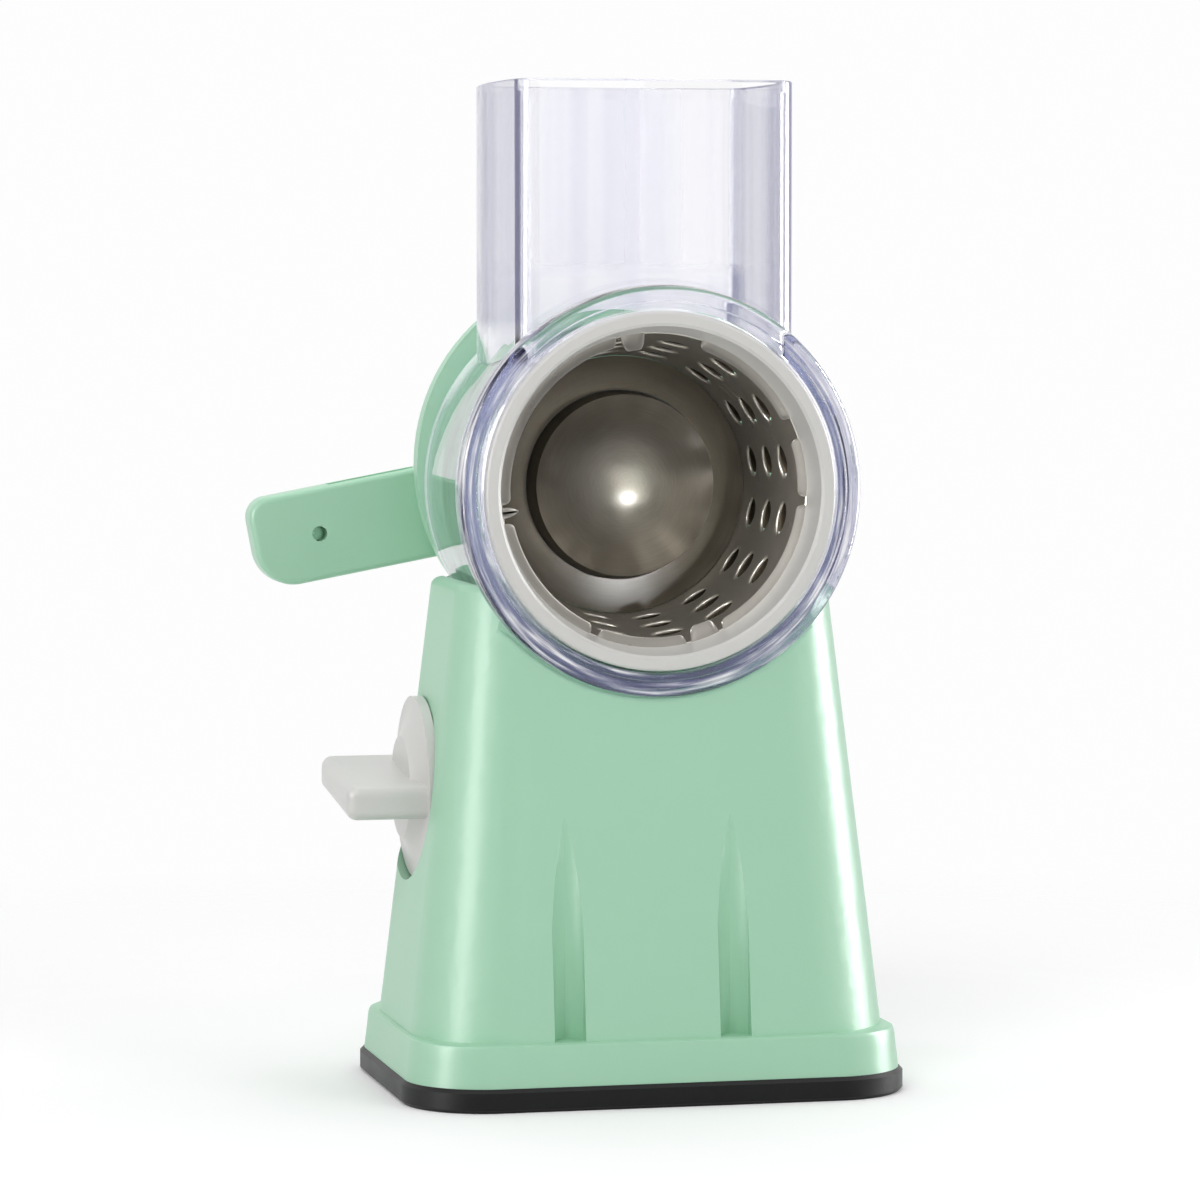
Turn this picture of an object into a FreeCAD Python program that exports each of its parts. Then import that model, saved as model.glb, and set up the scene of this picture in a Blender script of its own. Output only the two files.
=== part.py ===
import FreeCAD, Part
import math
import os
import Sketcher
from types import SimpleNamespace
from FreeCAD import Placement, Rotation, Vector

# Hand-cranked rotary vegetable grater on a suction base, in millimetres.
# X runs to the right, Y from the drum's mouth to the crank, Z up. The origin is
# the middle of the rubber foot, on the table.

# Driving sizes, one row each
SIZES = {
    "axis_height": 165.0,
    "fit_gap": 0.05,
    "running_gap": 0.08,
    "face_gap": 0.3,
    "foot_width": 140.0,
    "foot_depth": 104.0,
    "foot_thick": 6.5,
    "foot_corner": 23.0,
    "foot_bevel": 1.0,
    "foot_margin": 1.2,
    "skirt_top": 18.0,
    "skirt_flare": 1.2,
    "skirt_round": 1.4,
    "lip_width": 1.8,
    "horn_drop": 25.5,
    "tower_top_width": 104.0,
    "tower_top_depth": 66.0,
    "tower_corner": 27.0,
    "tower_top_corner": 18.0,
    "horn_round": 2.6,
    "saddle_round": 1.6,
    "housing_wall": 3.0,
    "saddle_floor": 4.0,
    "saddle_gap": 0.6,
    "flute_spacing": 45.8,
    "flute_offset": -4.3,
    "flute_half_width": 4.3,
    "flute_depth": 3.6,
    "flute_bow": 0.5,
    "flute_top": 78.0,
    "plate_face": 28.0,
    "plate_thick": 7.0,
    "plate_radius": 53.8,
    "plate_rise": 5.2,
    "plate_round": 1.5,
    "spigot_length": 5.5,
    "spigot_wall": 3.0,
    "lug_height": 1.5,
    "lug_thick": 2.6,
    "lug_width": 10.0,
    "lug_count": 3,
    "boss_radius": 13.0,
    "boss_front": 17.0,
    "post_x": 50.0,
    "post_y": 33.0,
    "post_radius": 5.0,
    "post_top": 62.0,
    "deck_thick": 4.6,
    "guide_radius": 9.0,
    "guide_top": 15.0,
    "screw_radius": 1.6,
    "screw_head_radius": 3.2,
    "screw_head_thick": 1.6,
    "screw_length": 14.0,
    "barrel_front": -40.5,
    "barrel_radius": 53.5,
    "barrel_rear_radius": 51.8,
    "barrel_wall": 3.2,
    "flange_radius": 55.5,
    "flange_width": 8.0,
    "flange_mouth": 49.1,
    "flange_step": 51.0,
    "flange_step_depth": 1.0,
    "flange_round": 2.0,
    "flange_easing": 0.5,
    "chute_width": 80.6,
    "chute_front": -37.5,
    "chute_wall": 2.6,
    "chute_corner": 7.0,
    "chute_rise": 110.5,
    "chute_bow": 8.0,
    "rim_depth": 3.2,
    "rim_step": 0.9,
    "rim_round": 0.7,
    "twist_range": 25.0,
    "drum_radius": 43.2,
    "drum_mouth": -31.0,
    "drum_length": 43.0,
    "drum_taper": 6.5,
    "steel_thick": 0.8,
    "tab_width": 3.0,
    "dome_radius": 26.2,
    "dome_height": 11.0,
    "dome_crown": 3.0,
    "dome_draft": 1.0,
    "tooth_columns": 16,
    "tooth_rows": 3,
    "tooth_pitch": 10.5,
    "tooth_start": 10.0,
    "tooth_margin": 14.5,
    "tooth_length": 8.8,
    "tooth_width": 5.0,
    "tooth_rise": 1.6,
    "ring_radius": 48.5,
    "ring_front": -39.4,
    "ring_mouth": 44.4,
    "ring_seat": 42.6,
    "ring_band": 4.5,
    "ring_band_wall": 3.0,
    "hub_flange_radius": 34.0,
    "hub_flange_thick": 2.0,
    "hex_flats": 10.0,
    "shaft_radius": 6.0,
    "clip_thick": 0.8,
    "clip_radius": 9.0,
    "clip_groove": 1.0,
    "bush_radius": 9.0,
    "bush_flange": 12.0,
    "bush_lip": 1.4,
    "washer_thick": 1.0,
    "washer_radius": 12.0,
    "arm_front": 47.0,
    "arm_thick": 11.0,
    "arm_width": 26.0,
    "arm_reach": 98.2,
    "arm_hub_radius": 17.0,
    "arm_boss_radius": 14.0,
    "arm_tilt": 10.6,
    "arm_top_round": 6.0,
    "arm_low_round": 11.0,
    "arm_edge": 1.8,
    "arm_slot_start": 49.0,
    "arm_slot_end": 74.0,
    "arm_slot_width": 6.0,
    "arm_slot_depth": 1.2,
    "square_side": 8.4,
    "square_start": 45.0,
    "square_length": 8.0,
    "crank_screw_radius": 2.5,
    "crank_screw_head": 5.6,
    "crank_screw_thick": 3.0,
    "crank_screw_length": 11.0,
    "screw_slot_width": 1.2,
    "screw_slot_depth": 1.4,
    "grip_reach": 79.5,
    "grip_hole_radius": 2.15,
    "grip_hole_depth": 5.0,
    "grip_length": 40.0,
    "grip_radius": 9.0,
    "grip_waist": 7.4,
    "grip_pin_radius": 3.4,
    "grip_head_radius": 5.4,
    "grip_head_thick": 2.0,
    "knob_height": 82.0,
    "knob_offset": 10.0,
    "knob_seat": 56.0,
    "knob_radius": 25.0,
    "knob_rim": 2.6,
    "knob_dome": 3.4,
    "knob_flat_radius": 14.0,
    "knob_reach": 81.0,
    "knob_recess_gap": 0.8,
    "fin_length": 44.0,
    "fin_thick": 9.6,
    "fin_round": 3.0,
    "fin_tilt": 7.0,
    "spindle_radius": 4.0,
    "spindle_socket": 14.0,
    "cam_radius": 10.0,
    "cam_width": 8.0,
    "stem_radius": 4.0,
    "stem_foot_radius": 14.0,
    "stem_foot_thick": 2.4,
    "stem_lift": 3.5,
    "pad_floor": 1.6,
    "yoke_wall": 3.0,
    "yoke_slack": 1.2,
    "bracket_wall": 3.0,
    "bracket_inside": 20.0,
    "bracket_depth": 24.0,
    "bracket_bridge": 46.0,
    "bracket_foot": 9.0,
    "bracket_top": 90.0,
    "collar_height": 25.0,
    "collar_thick": 2.0,
    "collar_radius": 8.0,
    "spring_radius": 6.4,
    "spring_wire": 1.2,
    "spring_turns": 6,
}

doc = FreeCAD.newDocument("rotary_grater")
sheet = doc.addObject("Spreadsheet::Sheet", "Sizes")
for row, (alias, number) in enumerate(SIZES.items(), 1):
    sheet.set("A%d" % row, alias)
    sheet.set("B%d" % row, str(number))
    sheet.setAlias("B%d" % row, alias)
doc.recompute()


class Size:
    """A number together with the sheet formula that gives it."""

    def __init__(self, value, text):
        self.value = float(value)
        self.text = text

    def __add__(self, other):
        return joined(self, "+", other, self.value + sized(other).value)

    def __sub__(self, other):
        return joined(self, "-", other, self.value - sized(other).value)

    def __mul__(self, other):
        return joined(self, "*", other, self.value * sized(other).value)

    def __truediv__(self, other):
        return joined(self, "/", other, self.value / sized(other).value)

    def __radd__(self, other):
        return sized(other) + self

    def __rsub__(self, other):
        return sized(other) - self

    def __rmul__(self, other):
        return sized(other) * self

    def __neg__(self):
        return 0 - self

    def __float__(self):
        return self.value


def sized(number):
    if isinstance(number, Size):
        return number
    return Size(number, "(%r)" % float(number))


def joined(left, sign, right, value):
    return Size(value, "(%s %s %s)" % (left.text, sign, sized(right).text))


def root(size):
    return Size(math.sqrt(size.value), "sqrt(%s)" % size.text)


s = SimpleNamespace(**{alias: Size(sheet.get(alias), "Sizes." + alias) for alias in SIZES})

ABOUT_Y = Rotation(Vector(1, 0, 0), -90)
ABOUT_X = Rotation(Vector(0, 1, 0), 90)
UPRIGHT = Rotation()


def bind(thing, path, number):
    """Ties one property of an object to the sheet."""
    thing.setExpression(path, sized(number).text)


def new_body(name, x=0, y=0, z=0, turn=UPRIGHT):
    """A body whose own origin stands at x, y, z of the grater."""
    body = doc.addObject("PartDesign::Body", name)
    body.Placement = Placement(Vector(float(x), float(y), float(z)), turn)
    for letter, number in (("x", x), ("y", y), ("z", z)):
        bind(body, ".Placement.Base." + letter, number)
    return body


def origin_part(body, role):
    return [item for item in body.Origin.OriginFeatures if item.Role == role][0]


def sketch_on(body, plane, name, lift=0, up=0):
    """A sketch on one of the body's own planes, lifted along its normal and moved up in it."""
    sketch = body.newObject("Sketcher::SketchObject", name)
    sketch.AttachmentSupport = [(origin_part(body, plane), "")]
    sketch.MapMode = "FlatFace"
    bind(sketch, ".AttachmentOffset.Base.y", up)
    bind(sketch, ".AttachmentOffset.Base.z", lift)
    return sketch


def pin_point(sketch, edge, end, x, y):
    """Holds one end of an edge at x, y from the sketch's origin."""
    for kind, number in (("DistanceX", x), ("DistanceY", y)):
        index = sketch.addConstraint(Sketcher.Constraint(kind, -1, 1, edge, end, float(number)))
        bind(sketch, "Constraints[%d]" % index, number)


def pin_radius(sketch, edge, radius):
    index = sketch.addConstraint(Sketcher.Constraint("Radius", edge, float(radius)))
    bind(sketch, "Constraints[%d]" % index, radius)


def circle(sketch, radius, x=0, y=0):
    middle = Vector(float(x), float(y), 0)
    edge = sketch.addGeometry(Part.Circle(middle, Vector(0, 0, 1), float(radius)))
    pin_radius(sketch, edge, radius)
    pin_point(sketch, edge, 3, x, y)


def arc_edge(sketch, start, end, sag):
    """An arc that leaves the chord by sag, to its left when sag is positive."""
    chord = end - start
    side = Vector(-chord.y, chord.x, 0).normalize()
    radius = (chord.Length ** 2 / 4 + sag ** 2) / (2 * abs(sag))
    top = (start + end) / 2 + side * sag
    middle = top - side * math.copysign(radius, sag)
    first, last = (end, start) if sag > 0 else (start, end)
    low = math.atan2(first.y - middle.y, first.x - middle.x)
    high = math.atan2(last.y - middle.y, last.x - middle.x)
    if high < low:
        high += 2 * math.pi
    edge = sketch.addGeometry(Part.ArcOfCircle(Part.Circle(middle, Vector(0, 0, 1), radius), low, high))
    return (edge, 2, 1) if sag > 0 else (edge, 1, 2)


def outline(sketch, points):
    """A closed outline of (x, y) corners. A third number is the sag of the next edge."""
    edges = []
    following = points[1:] + points[:1]
    for here, there in zip(points, following):
        start = Vector(float(here[0]), float(here[1]), 0)
        end = Vector(float(there[0]), float(there[1]), 0)
        if len(here) > 2:
            edges.append(arc_edge(sketch, start, end, float(here[2])))
            across = sized(there[0]) - here[0]
            along = sized(there[1]) - here[1]
            sag = sized(here[2]) if float(here[2]) > 0 else -sized(here[2])
            pin_radius(sketch, edges[-1][0], ((across * across + along * along) / 4 + sag * sag) / (2 * sag))
        else:
            edges.append((sketch.addGeometry(Part.LineSegment(start, end)), 1, 2))
    for (edge, _, last), (other, first, _) in zip(edges, edges[1:] + edges[:1]):
        sketch.addConstraint(Sketcher.Constraint("Coincident", edge, last, other, first))
    for (edge, first, _), here in zip(edges, points):
        pin_point(sketch, edge, first, here[0], here[1])


def box_points(left, low, right, high):
    return [(left, low), (right, low), (right, high), (left, high)]


def rounded_box(sketch, width, depth, corner):
    """A rectangle about the sketch's origin with four equal round corners."""
    half_x, half_y, radius = float(width) / 2, float(depth) / 2, float(corner)
    flat_x, flat_y = half_x - radius, half_y - radius
    sides = [((-flat_x, -half_y), (flat_x, -half_y)), ((half_x, -flat_y), (half_x, flat_y)),
             ((flat_x, half_y), (-flat_x, half_y)), ((-half_x, flat_y), (-half_x, -flat_y))]
    middles = [(flat_x, -flat_y), (flat_x, flat_y), (-flat_x, flat_y), (-flat_x, -flat_y)]
    for quarter, (side, middle) in enumerate(zip(sides, middles)):
        sketch.addGeometry(Part.LineSegment(Vector(*side[0], 0), Vector(*side[1], 0)))
        round_part = Part.Circle(Vector(*middle, 0), Vector(0, 0, 1), radius)
        start = math.radians(90 * quarter - 90)
        sketch.addGeometry(Part.ArcOfCircle(round_part, start, start + math.pi / 2))
    for quarter in range(4):
        line, arc, after = 2 * quarter, 2 * quarter + 1, (2 * quarter + 2) % 8
        sketch.addConstraint(Sketcher.Constraint("Tangent", line, 2, arc, 1))
        sketch.addConstraint(Sketcher.Constraint("Tangent", arc, 2, after, 1))
        sketch.addConstraint(Sketcher.Constraint("Vertical" if quarter % 2 else "Horizontal", line))
        if quarter:
            sketch.addConstraint(Sketcher.Constraint("Equal", 1, arc))
    pin_radius(sketch, 1, corner)
    spans = [("DistanceY", 0, -depth / 2), ("DistanceX", 2, width / 2),
             ("DistanceY", 4, depth / 2), ("DistanceX", 6, -width / 2)]
    for kind, line, number in spans:
        index = sketch.addConstraint(Sketcher.Constraint(kind, -1, 1, line, 1, float(number)))
        bind(sketch, "Constraints[%d]" % index, number)


def pad(body, sketch, length, back=False):
    feature = body.newObject("PartDesign::Pad", sketch.Name + "_pad")
    feature.Profile = sketch
    bind(feature, "Length", length)
    feature.Reversed = back
    doc.recompute()
    return feature


def check_cut(feature):
    """A cut that misses its solid raises no error, so the volume is compared."""
    doc.recompute()
    if feature.Shape.Volume > feature.BaseFeature.Shape.Volume - 0.01:
        raise RuntimeError(feature.Name + " removes nothing")
    return feature


def pocket(body, sketch, length, back=False):
    feature = body.newObject("PartDesign::Pocket", sketch.Name + "_cut")
    feature.Profile = sketch
    bind(feature, "Length", length)
    feature.Reversed = back
    return check_cut(feature)


def turned(body, sketch):
    """A solid turned about the sketch's upright axis."""
    feature = body.newObject("PartDesign::Revolution", sketch.Name + "_turn")
    feature.Profile = sketch
    feature.ReferenceAxis = (sketch, ["V_Axis"])
    feature.Angle = 360
    doc.recompute()
    return feature


def turned_cut(body, sketch):
    feature = body.newObject("PartDesign::Groove", sketch.Name + "_turn")
    feature.Profile = sketch
    feature.ReferenceAxis = (sketch, ["V_Axis"])
    feature.Angle = 360
    return check_cut(feature)


def loft(body, kind, sketches):
    feature = body.newObject("PartDesign::" + kind, sketches[0].Name + "_loft")
    feature.Profile = sketches[0]
    feature.Sections = sketches[1:]
    feature.Ruled = True
    doc.recompute()
    return feature


def around(body, feature, count, axis="Z_Axis"):
    """Copies of a feature spread evenly about one of the body's own axes."""
    pattern = body.newObject("PartDesign::PolarPattern", feature.Name + "_ring")
    pattern.Originals = [feature]
    pattern.Axis = (origin_part(body, axis), "")
    pattern.Angle = 360
    bind(pattern, "Occurrences", count)
    body.Tip = pattern
    doc.recompute()
    return pattern


def edges_where(feature, test):
    return ["Edge%d" % number for number, edge in enumerate(feature.Shape.Edges, 1) if test(edge)]


def lies_at(letter, number):
    """Picks the edges that lie flat at one height along an axis."""
    def test(edge):
        box = edge.BoundBox
        low, high = getattr(box, letter + "Min"), getattr(box, letter + "Max")
        return abs(low - float(number)) < 0.01 and abs(high - float(number)) < 0.01
    return test


def fillet(body, feature, test, radius):
    rounded = body.newObject("PartDesign::Fillet", feature.Name + "_round")
    rounded.Base = (feature, edges_where(feature, test))
    bind(rounded, "Radius", radius)
    doc.recompute()
    return rounded


def chamfer(body, feature, test, width):
    bevelled = body.newObject("PartDesign::Chamfer", feature.Name + "_bevel")
    bevelled.Base = (feature, edges_where(feature, test))
    bind(bevelled, "Size", width)
    doc.recompute()
    return bevelled


def turned_part(name, points, x=0, y=0, z=0, turn=UPRIGHT):
    """A whole piece turned from one outline of (radius, height) corners."""
    body = new_body(name, x, y, z, turn)
    sketch = sketch_on(body, "XZ_Plane", name + "_profile")
    outline(sketch, points)
    turned(body, sketch)
    return body


def axle_part(name, points):
    """A piece turned about the crank's axis, with heights counted along Y."""
    return turned_part(name, points, z=s.axis_height, turn=ABOUT_Y)


def knob_axis_part(name, points):
    """A piece turned about the lock knob's axis, with heights counted along X."""
    return turned_part(name, points, y=s.knob_offset, z=s.knob_height, turn=ABOUT_X)


def stem_part(name, points):
    """A piece turned about the suction stem's upright axis."""
    return turned_part(name, points, y=s.knob_offset)


def group(name, pieces):
    """Identical fasteners kept as separate solids of one node."""
    bundle = doc.addObject("Part::Compound", name)
    bundle.Links = pieces
    doc.recompute()
    return bundle


def cosine(angle):
    return Size(math.cos(math.radians(float(angle))), "cos(%s)" % sized(angle).text)


def sine(angle):
    return Size(math.sin(math.radians(float(angle))), "sin(%s)" % sized(angle).text)


def polar(radius, angle):
    return radius * cosine(angle), radius * sine(angle)


def tangent(angle):
    return sine(angle) / cosine(angle)


def bowed_box(sketch, width, depth, corner, bow):
    """A rectangle about the sketch's origin whose sides bulge and run smoothly into its corners."""
    lean = tangent(bow / 2)
    leg = corner * math.sqrt(2) * sine(45 - bow)
    long, short = width / 2 - leg, depth / 2 - leg
    front = (long * lean - short * lean * lean) / (1 - lean * lean)
    side = (short - front) * lean
    bend = leg / math.sqrt(2) * tangent((45 - bow) / 2)
    half_x, half_y = long - side, short - front
    far_x, far_y = width / 2 - side, depth / 2 - front
    outline(sketch, [(-half_x, -far_y, -front), (half_x, -far_y, -bend), (far_x, -half_y, -side),
                     (far_x, half_y, -bend), (half_x, far_y, -front), (-half_x, far_y, -bend),
                     (-far_x, half_y, -side), (-far_x, -half_y, -bend)])


def sector(sketch, inner, outer, start, end):
    """A piece of a flat ring between two radii and two angles."""
    bow = 1 - cosine((sized(end) - start) / 2)
    corners = [polar(inner, start), polar(outer, start) + (-(outer * bow),),
               polar(outer, end), polar(inner, end) + (inner * bow,)]
    outline(sketch, corners)


# Sizes and places that several pieces share
SKIRT_FOOT = (s.foot_width - 2 * s.foot_margin, s.foot_depth - 2 * s.foot_margin)
SKIRT_LIP = tuple(span - 2 * s.skirt_flare for span in SKIRT_FOOT)
TOWER_FOOT = tuple(span - 2 * s.lip_width for span in SKIRT_LIP)
TOWER_TOP = (s.tower_top_width, s.tower_top_depth)
HORN_TOP = s.axis_height - s.horn_drop
FLUTE_PLACES = [s.flute_offset + side * s.flute_spacing / 2 for side in (-1, 1)]
CORE_FOOT = tuple(span - 2 * s.housing_wall for span in TOWER_FOOT)
DECK_TOP = s.foot_thick + s.deck_thick
SADDLE_RADIUS = s.barrel_radius + s.saddle_gap
REBATE_RADIUS = s.flange_radius + s.saddle_gap
CORE_TOP = s.axis_height - SADDLE_RADIUS - s.saddle_floor
PLATE_REAR = s.plate_face + s.plate_thick
BARREL_REAR = s.plate_face - s.face_gap
REAR_BORE = s.barrel_rear_radius - s.barrel_wall
SPIGOT_RADIUS = REAR_BORE - s.face_gap
LUG_MIDDLE = s.plate_face - s.spigot_length / 2
DRUM_REAR = s.drum_mouth + s.drum_length
DRUM_BORE = s.drum_radius - s.steel_thick
FLOOR_RADIUS = DRUM_BORE - s.drum_taper
HUB_REAR = DRUM_REAR + s.fit_gap + s.hub_flange_thick
DOME_SHOULDER = DRUM_REAR - s.steel_thick - s.dome_height + s.dome_crown
HUB_FRONT = DOME_SHOULDER + 2 * s.steel_thick
SHAFT_TIP = HUB_FRONT - s.face_gap
BUSH_REAR = PLATE_REAR + s.bush_lip
WASHER_FRONT = BUSH_REAR + s.face_gap
ARM_HUB_FRONT = WASHER_FRONT + s.washer_thick + s.face_gap
ARM_REAR = s.arm_front + s.arm_thick
SQUARE_END = s.square_start + s.square_length
KNOB_FACE = -(s.knob_seat + s.face_gap)
KNOB_DISC = KNOB_FACE - s.knob_rim - s.knob_dome
SPINDLE_END = s.bracket_inside / 2 + s.bracket_wall + 4
STEM_FOOT = s.pad_floor + s.face_gap
YOKE_HALF_WIDTH = s.cam_radius + s.stem_lift + s.fit_gap * 8
YOKE_HALF_HEIGHT = s.cam_radius + s.yoke_slack
POSTS = [(x, y) for x in (-s.post_x, s.post_x) for y in (-s.post_y, s.post_y)]
HEX_CORNER = 1 / math.sqrt(3)
SQUARE_CORNER = 1 / math.sqrt(2)


def cap_sag(radius, rise):
    """The sag of the half outline of a round cap whose centre lies on its axis."""
    chord = radius * radius + rise * rise
    ball = chord / (2 * rise)
    return ball - root(ball * ball - chord / 4)


def ring_points(inner, outer, low, high):
    return box_points(inner, low, outer, high)


def boxed(body, name, size, corner, lift):
    """A rounded rectangle drawn at one height."""
    sketch = sketch_on(body, "XY_Plane", name, lift)
    rounded_box(sketch, size[0], size[1], corner)
    return sketch


def tower_span(height):
    """The tower's outside width and depth at one height."""
    share = (height - s.skirt_top) / (HORN_TOP - s.skirt_top)
    return tuple(foot - (foot - top) * share for foot, top in zip(TOWER_FOOT, TOWER_TOP))


FLUTE_BACK = -tower_span(s.flute_top)[1] / 2


def flute(body, name, x):
    """A channel with a pointed back that runs out where the leaning wall meets it."""
    shoulder = FLUTE_BACK - s.flute_depth
    mouth = -(TOWER_FOOT[1] / 2 + s.flute_half_width)
    left, right = x - s.flute_half_width, x + s.flute_half_width
    sketch = sketch_on(body, "XY_Plane", name, s.skirt_top)
    outline(sketch, [(left, mouth), (right, mouth), (right, shoulder, -s.flute_bow),
                     (x, FLUTE_BACK, -s.flute_bow), (left, shoulder)])
    return pocket(body, sketch, s.flute_top - s.skirt_top + s.flute_half_width, back=True)


def on_saddle_lip(edge):
    """Picks the front edges of the seat that the barrel's flange lies in."""
    first, last = edge.ParameterRange
    spots = [edge.valueAt(first + (last - first) * share / 4) for share in range(5)]
    off = max(abs(math.hypot(spot.x, spot.z - float(s.axis_height)) - float(REBATE_RADIUS)) for spot in spots)
    return off < 0.05 and edge.BoundBox.YLength > 0.5


def tower_shell():
    """The outside of the moulded tower, with its skirt, saddle, flutes and knob seat."""
    body = new_body("tower_shell")
    easing = 0.3
    levels = ((s.foot_thick, 0), (s.skirt_top - s.skirt_round, s.skirt_flare),
              (s.skirt_top - s.skirt_round * easing, s.skirt_flare + s.skirt_round * easing),
              (s.skirt_top, s.skirt_flare + s.skirt_round))
    loft(body, "AdditiveLoft", [boxed(body, "skirt_level_%d" % number,
                                      tuple(span - 2 * inset for span in SKIRT_FOOT),
                                      s.foot_corner - s.foot_margin - inset, height)
                                for number, (height, inset) in enumerate(levels, 1)])
    tower = loft(body, "AdditiveLoft", [boxed(body, "tower_foot", TOWER_FOOT, s.tower_corner, s.skirt_top),
                                        boxed(body, "tower_head", TOWER_TOP, s.tower_top_corner, HORN_TOP)])
    fillet(body, tower, lies_at("Z", HORN_TOP), s.horn_round)
    saddle = sketch_on(body, "XZ_Plane", "saddle", -s.plate_face)
    circle(saddle, SADDLE_RADIUS, 0, s.axis_height)
    pocket(body, saddle, s.plate_face + s.foot_depth, back=True)
    rebate = sketch_on(body, "XZ_Plane", "flange_rebate",
                       -(s.barrel_front + s.flange_width + s.saddle_gap))
    circle(rebate, REBATE_RADIUS, 0, s.axis_height)
    cut = pocket(body, rebate, s.foot_depth, back=True)
    fillet(body, cut, on_saddle_lip, s.saddle_round)
    for name, x in zip(("left_flute", "right_flute"), FLUTE_PLACES):
        flute(body, name, x)
    seat = sketch_on(body, "YZ_Plane", "knob_recess", -s.knob_seat)
    circle(seat, s.knob_radius + s.knob_recess_gap, s.knob_offset, s.knob_height)
    pocket(body, seat, s.foot_width / 2)
    return body


def bearing_plate():
    """The round plate behind the barrel, with the spigot and the bearing boss."""
    body = new_body("bearing_plate", z=s.axis_height, turn=ABOUT_Y)
    disc = sketch_on(body, "XY_Plane", "plate_disc", s.plate_face)
    circle(disc, s.plate_radius, 0, -s.plate_rise)
    disc_pad = pad(body, disc, s.plate_thick)
    fillet(body, disc_pad, lies_at("Z", PLATE_REAR), s.plate_round)
    spigot = sketch_on(body, "XZ_Plane", "spigot")
    outline(spigot, ring_points(SPIGOT_RADIUS - s.spigot_wall, SPIGOT_RADIUS,
                                s.plate_face - s.spigot_length, s.plate_face + s.fit_gap))
    turned(body, spigot)
    boss = sketch_on(body, "XZ_Plane", "bearing_boss")
    outline(boss, box_points(0, s.boss_front, s.boss_radius, s.plate_face + s.fit_gap))
    turned(body, boss)
    bore = sketch_on(body, "XZ_Plane", "bush_bore")
    outline(bore, box_points(0, s.boss_front - 1, s.bush_radius + s.fit_gap, PLATE_REAR + 1))
    turned_cut(body, bore)
    floor = SPIGOT_RADIUS - s.lug_height - s.face_gap
    half_track = s.lug_thick / 2 + s.face_gap
    play = 1.0
    half_lug = s.lug_width / 1.6
    half_angle = half_lug / SPIGOT_RADIUS * (180 / math.pi) + play
    track = sketch_on(body, "XY_Plane", "bayonet_track", LUG_MIDDLE - half_track)
    sector(track, floor, SPIGOT_RADIUS + 1, -half_angle, s.twist_range + half_angle)
    around(body, pocket(body, track, 2 * half_track, back=True), s.lug_count)
    entry = sketch_on(body, "XY_Plane", "bayonet_entry", s.plate_face - s.spigot_length - 1)
    sector(entry, floor, SPIGOT_RADIUS + 1, s.twist_range - half_angle, s.twist_range + half_angle)
    depth = LUG_MIDDLE - (s.plate_face - s.spigot_length) + 1
    around(body, pocket(body, entry, depth, back=True), s.lug_count)
    return body


def housing_core():
    """The space inside the tower: everything but its walls, posts and knob backing."""
    body = new_body("housing_core")
    seat = boxed(body, "deck_seat", CORE_FOOT, s.foot_corner, s.foot_thick)
    pad(body, seat, s.deck_thick)
    roof = tuple(span - 2 * s.housing_wall for span in tower_span(CORE_TOP))
    loft(body, "AdditiveLoft", [boxed(body, "core_foot", CORE_FOOT, s.foot_corner, DECK_TOP),
                                boxed(body, "core_roof", roof, s.tower_top_corner - s.housing_wall, CORE_TOP)])
    posts = sketch_on(body, "XY_Plane", "posts", DECK_TOP)
    pilots = sketch_on(body, "XY_Plane", "pilot_holes", s.foot_thick)
    for x, y in POSTS:
        circle(posts, s.post_radius, x, y)
        circle(pilots, s.screw_radius + s.fit_gap, x, y)
    pocket(body, posts, s.post_top - DECK_TOP, back=True)
    pad(body, pilots, s.screw_length + s.screw_head_thick + 1)
    ribs = sketch_on(body, "XY_Plane", "flute_walls", DECK_TOP)
    half = s.flute_half_width + s.housing_wall
    for x in FLUTE_PLACES:
        outline(ribs, box_points(x - half, -s.foot_depth, x + half, FLUTE_BACK + s.housing_wall))
    pocket(body, ribs, CORE_TOP, back=True)
    backing = sketch_on(body, "YZ_Plane", "knob_backing", -(s.knob_seat - s.housing_wall))
    circle(backing, s.knob_radius + s.knob_recess_gap + s.housing_wall, s.knob_offset, s.knob_height)
    pocket(body, backing, s.foot_width / 2)
    hole = sketch_on(body, "YZ_Plane", "spindle_hole", -(s.knob_seat + 1))
    circle(hole, s.spindle_radius + s.running_gap, s.knob_offset, s.knob_height)
    pad(body, hole, s.housing_wall + 4)
    return body


def base_housing():
    """One green moulding: tower, bearing plate and hollow underside."""
    solid = doc.addObject("Part::Fuse", "housing_solid")
    solid.Base = tower_shell()
    solid.Tool = bearing_plate()
    housing = doc.addObject("Part::Cut", "base_housing")
    housing.Base = solid
    housing.Tool = housing_core()
    doc.recompute()
    return housing


def suction_pad():
    """The black rubber foot, with a pocket for the stem's disc."""
    body = new_body("suction_pad")
    slab = pad(body, boxed(body, "foot_outline", (s.foot_width, s.foot_depth), s.foot_corner, 0), s.foot_thick)
    top = chamfer(body, slab, lies_at("Z", s.foot_thick), s.foot_bevel)
    chamfer(body, top, lies_at("Z", 0), s.foot_bevel)
    well = sketch_on(body, "XY_Plane", "stem_well", s.pad_floor)
    circle(well, s.stem_foot_radius + 1, 0, s.knob_offset)
    pocket(body, well, s.foot_thick, back=True)
    return body


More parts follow.
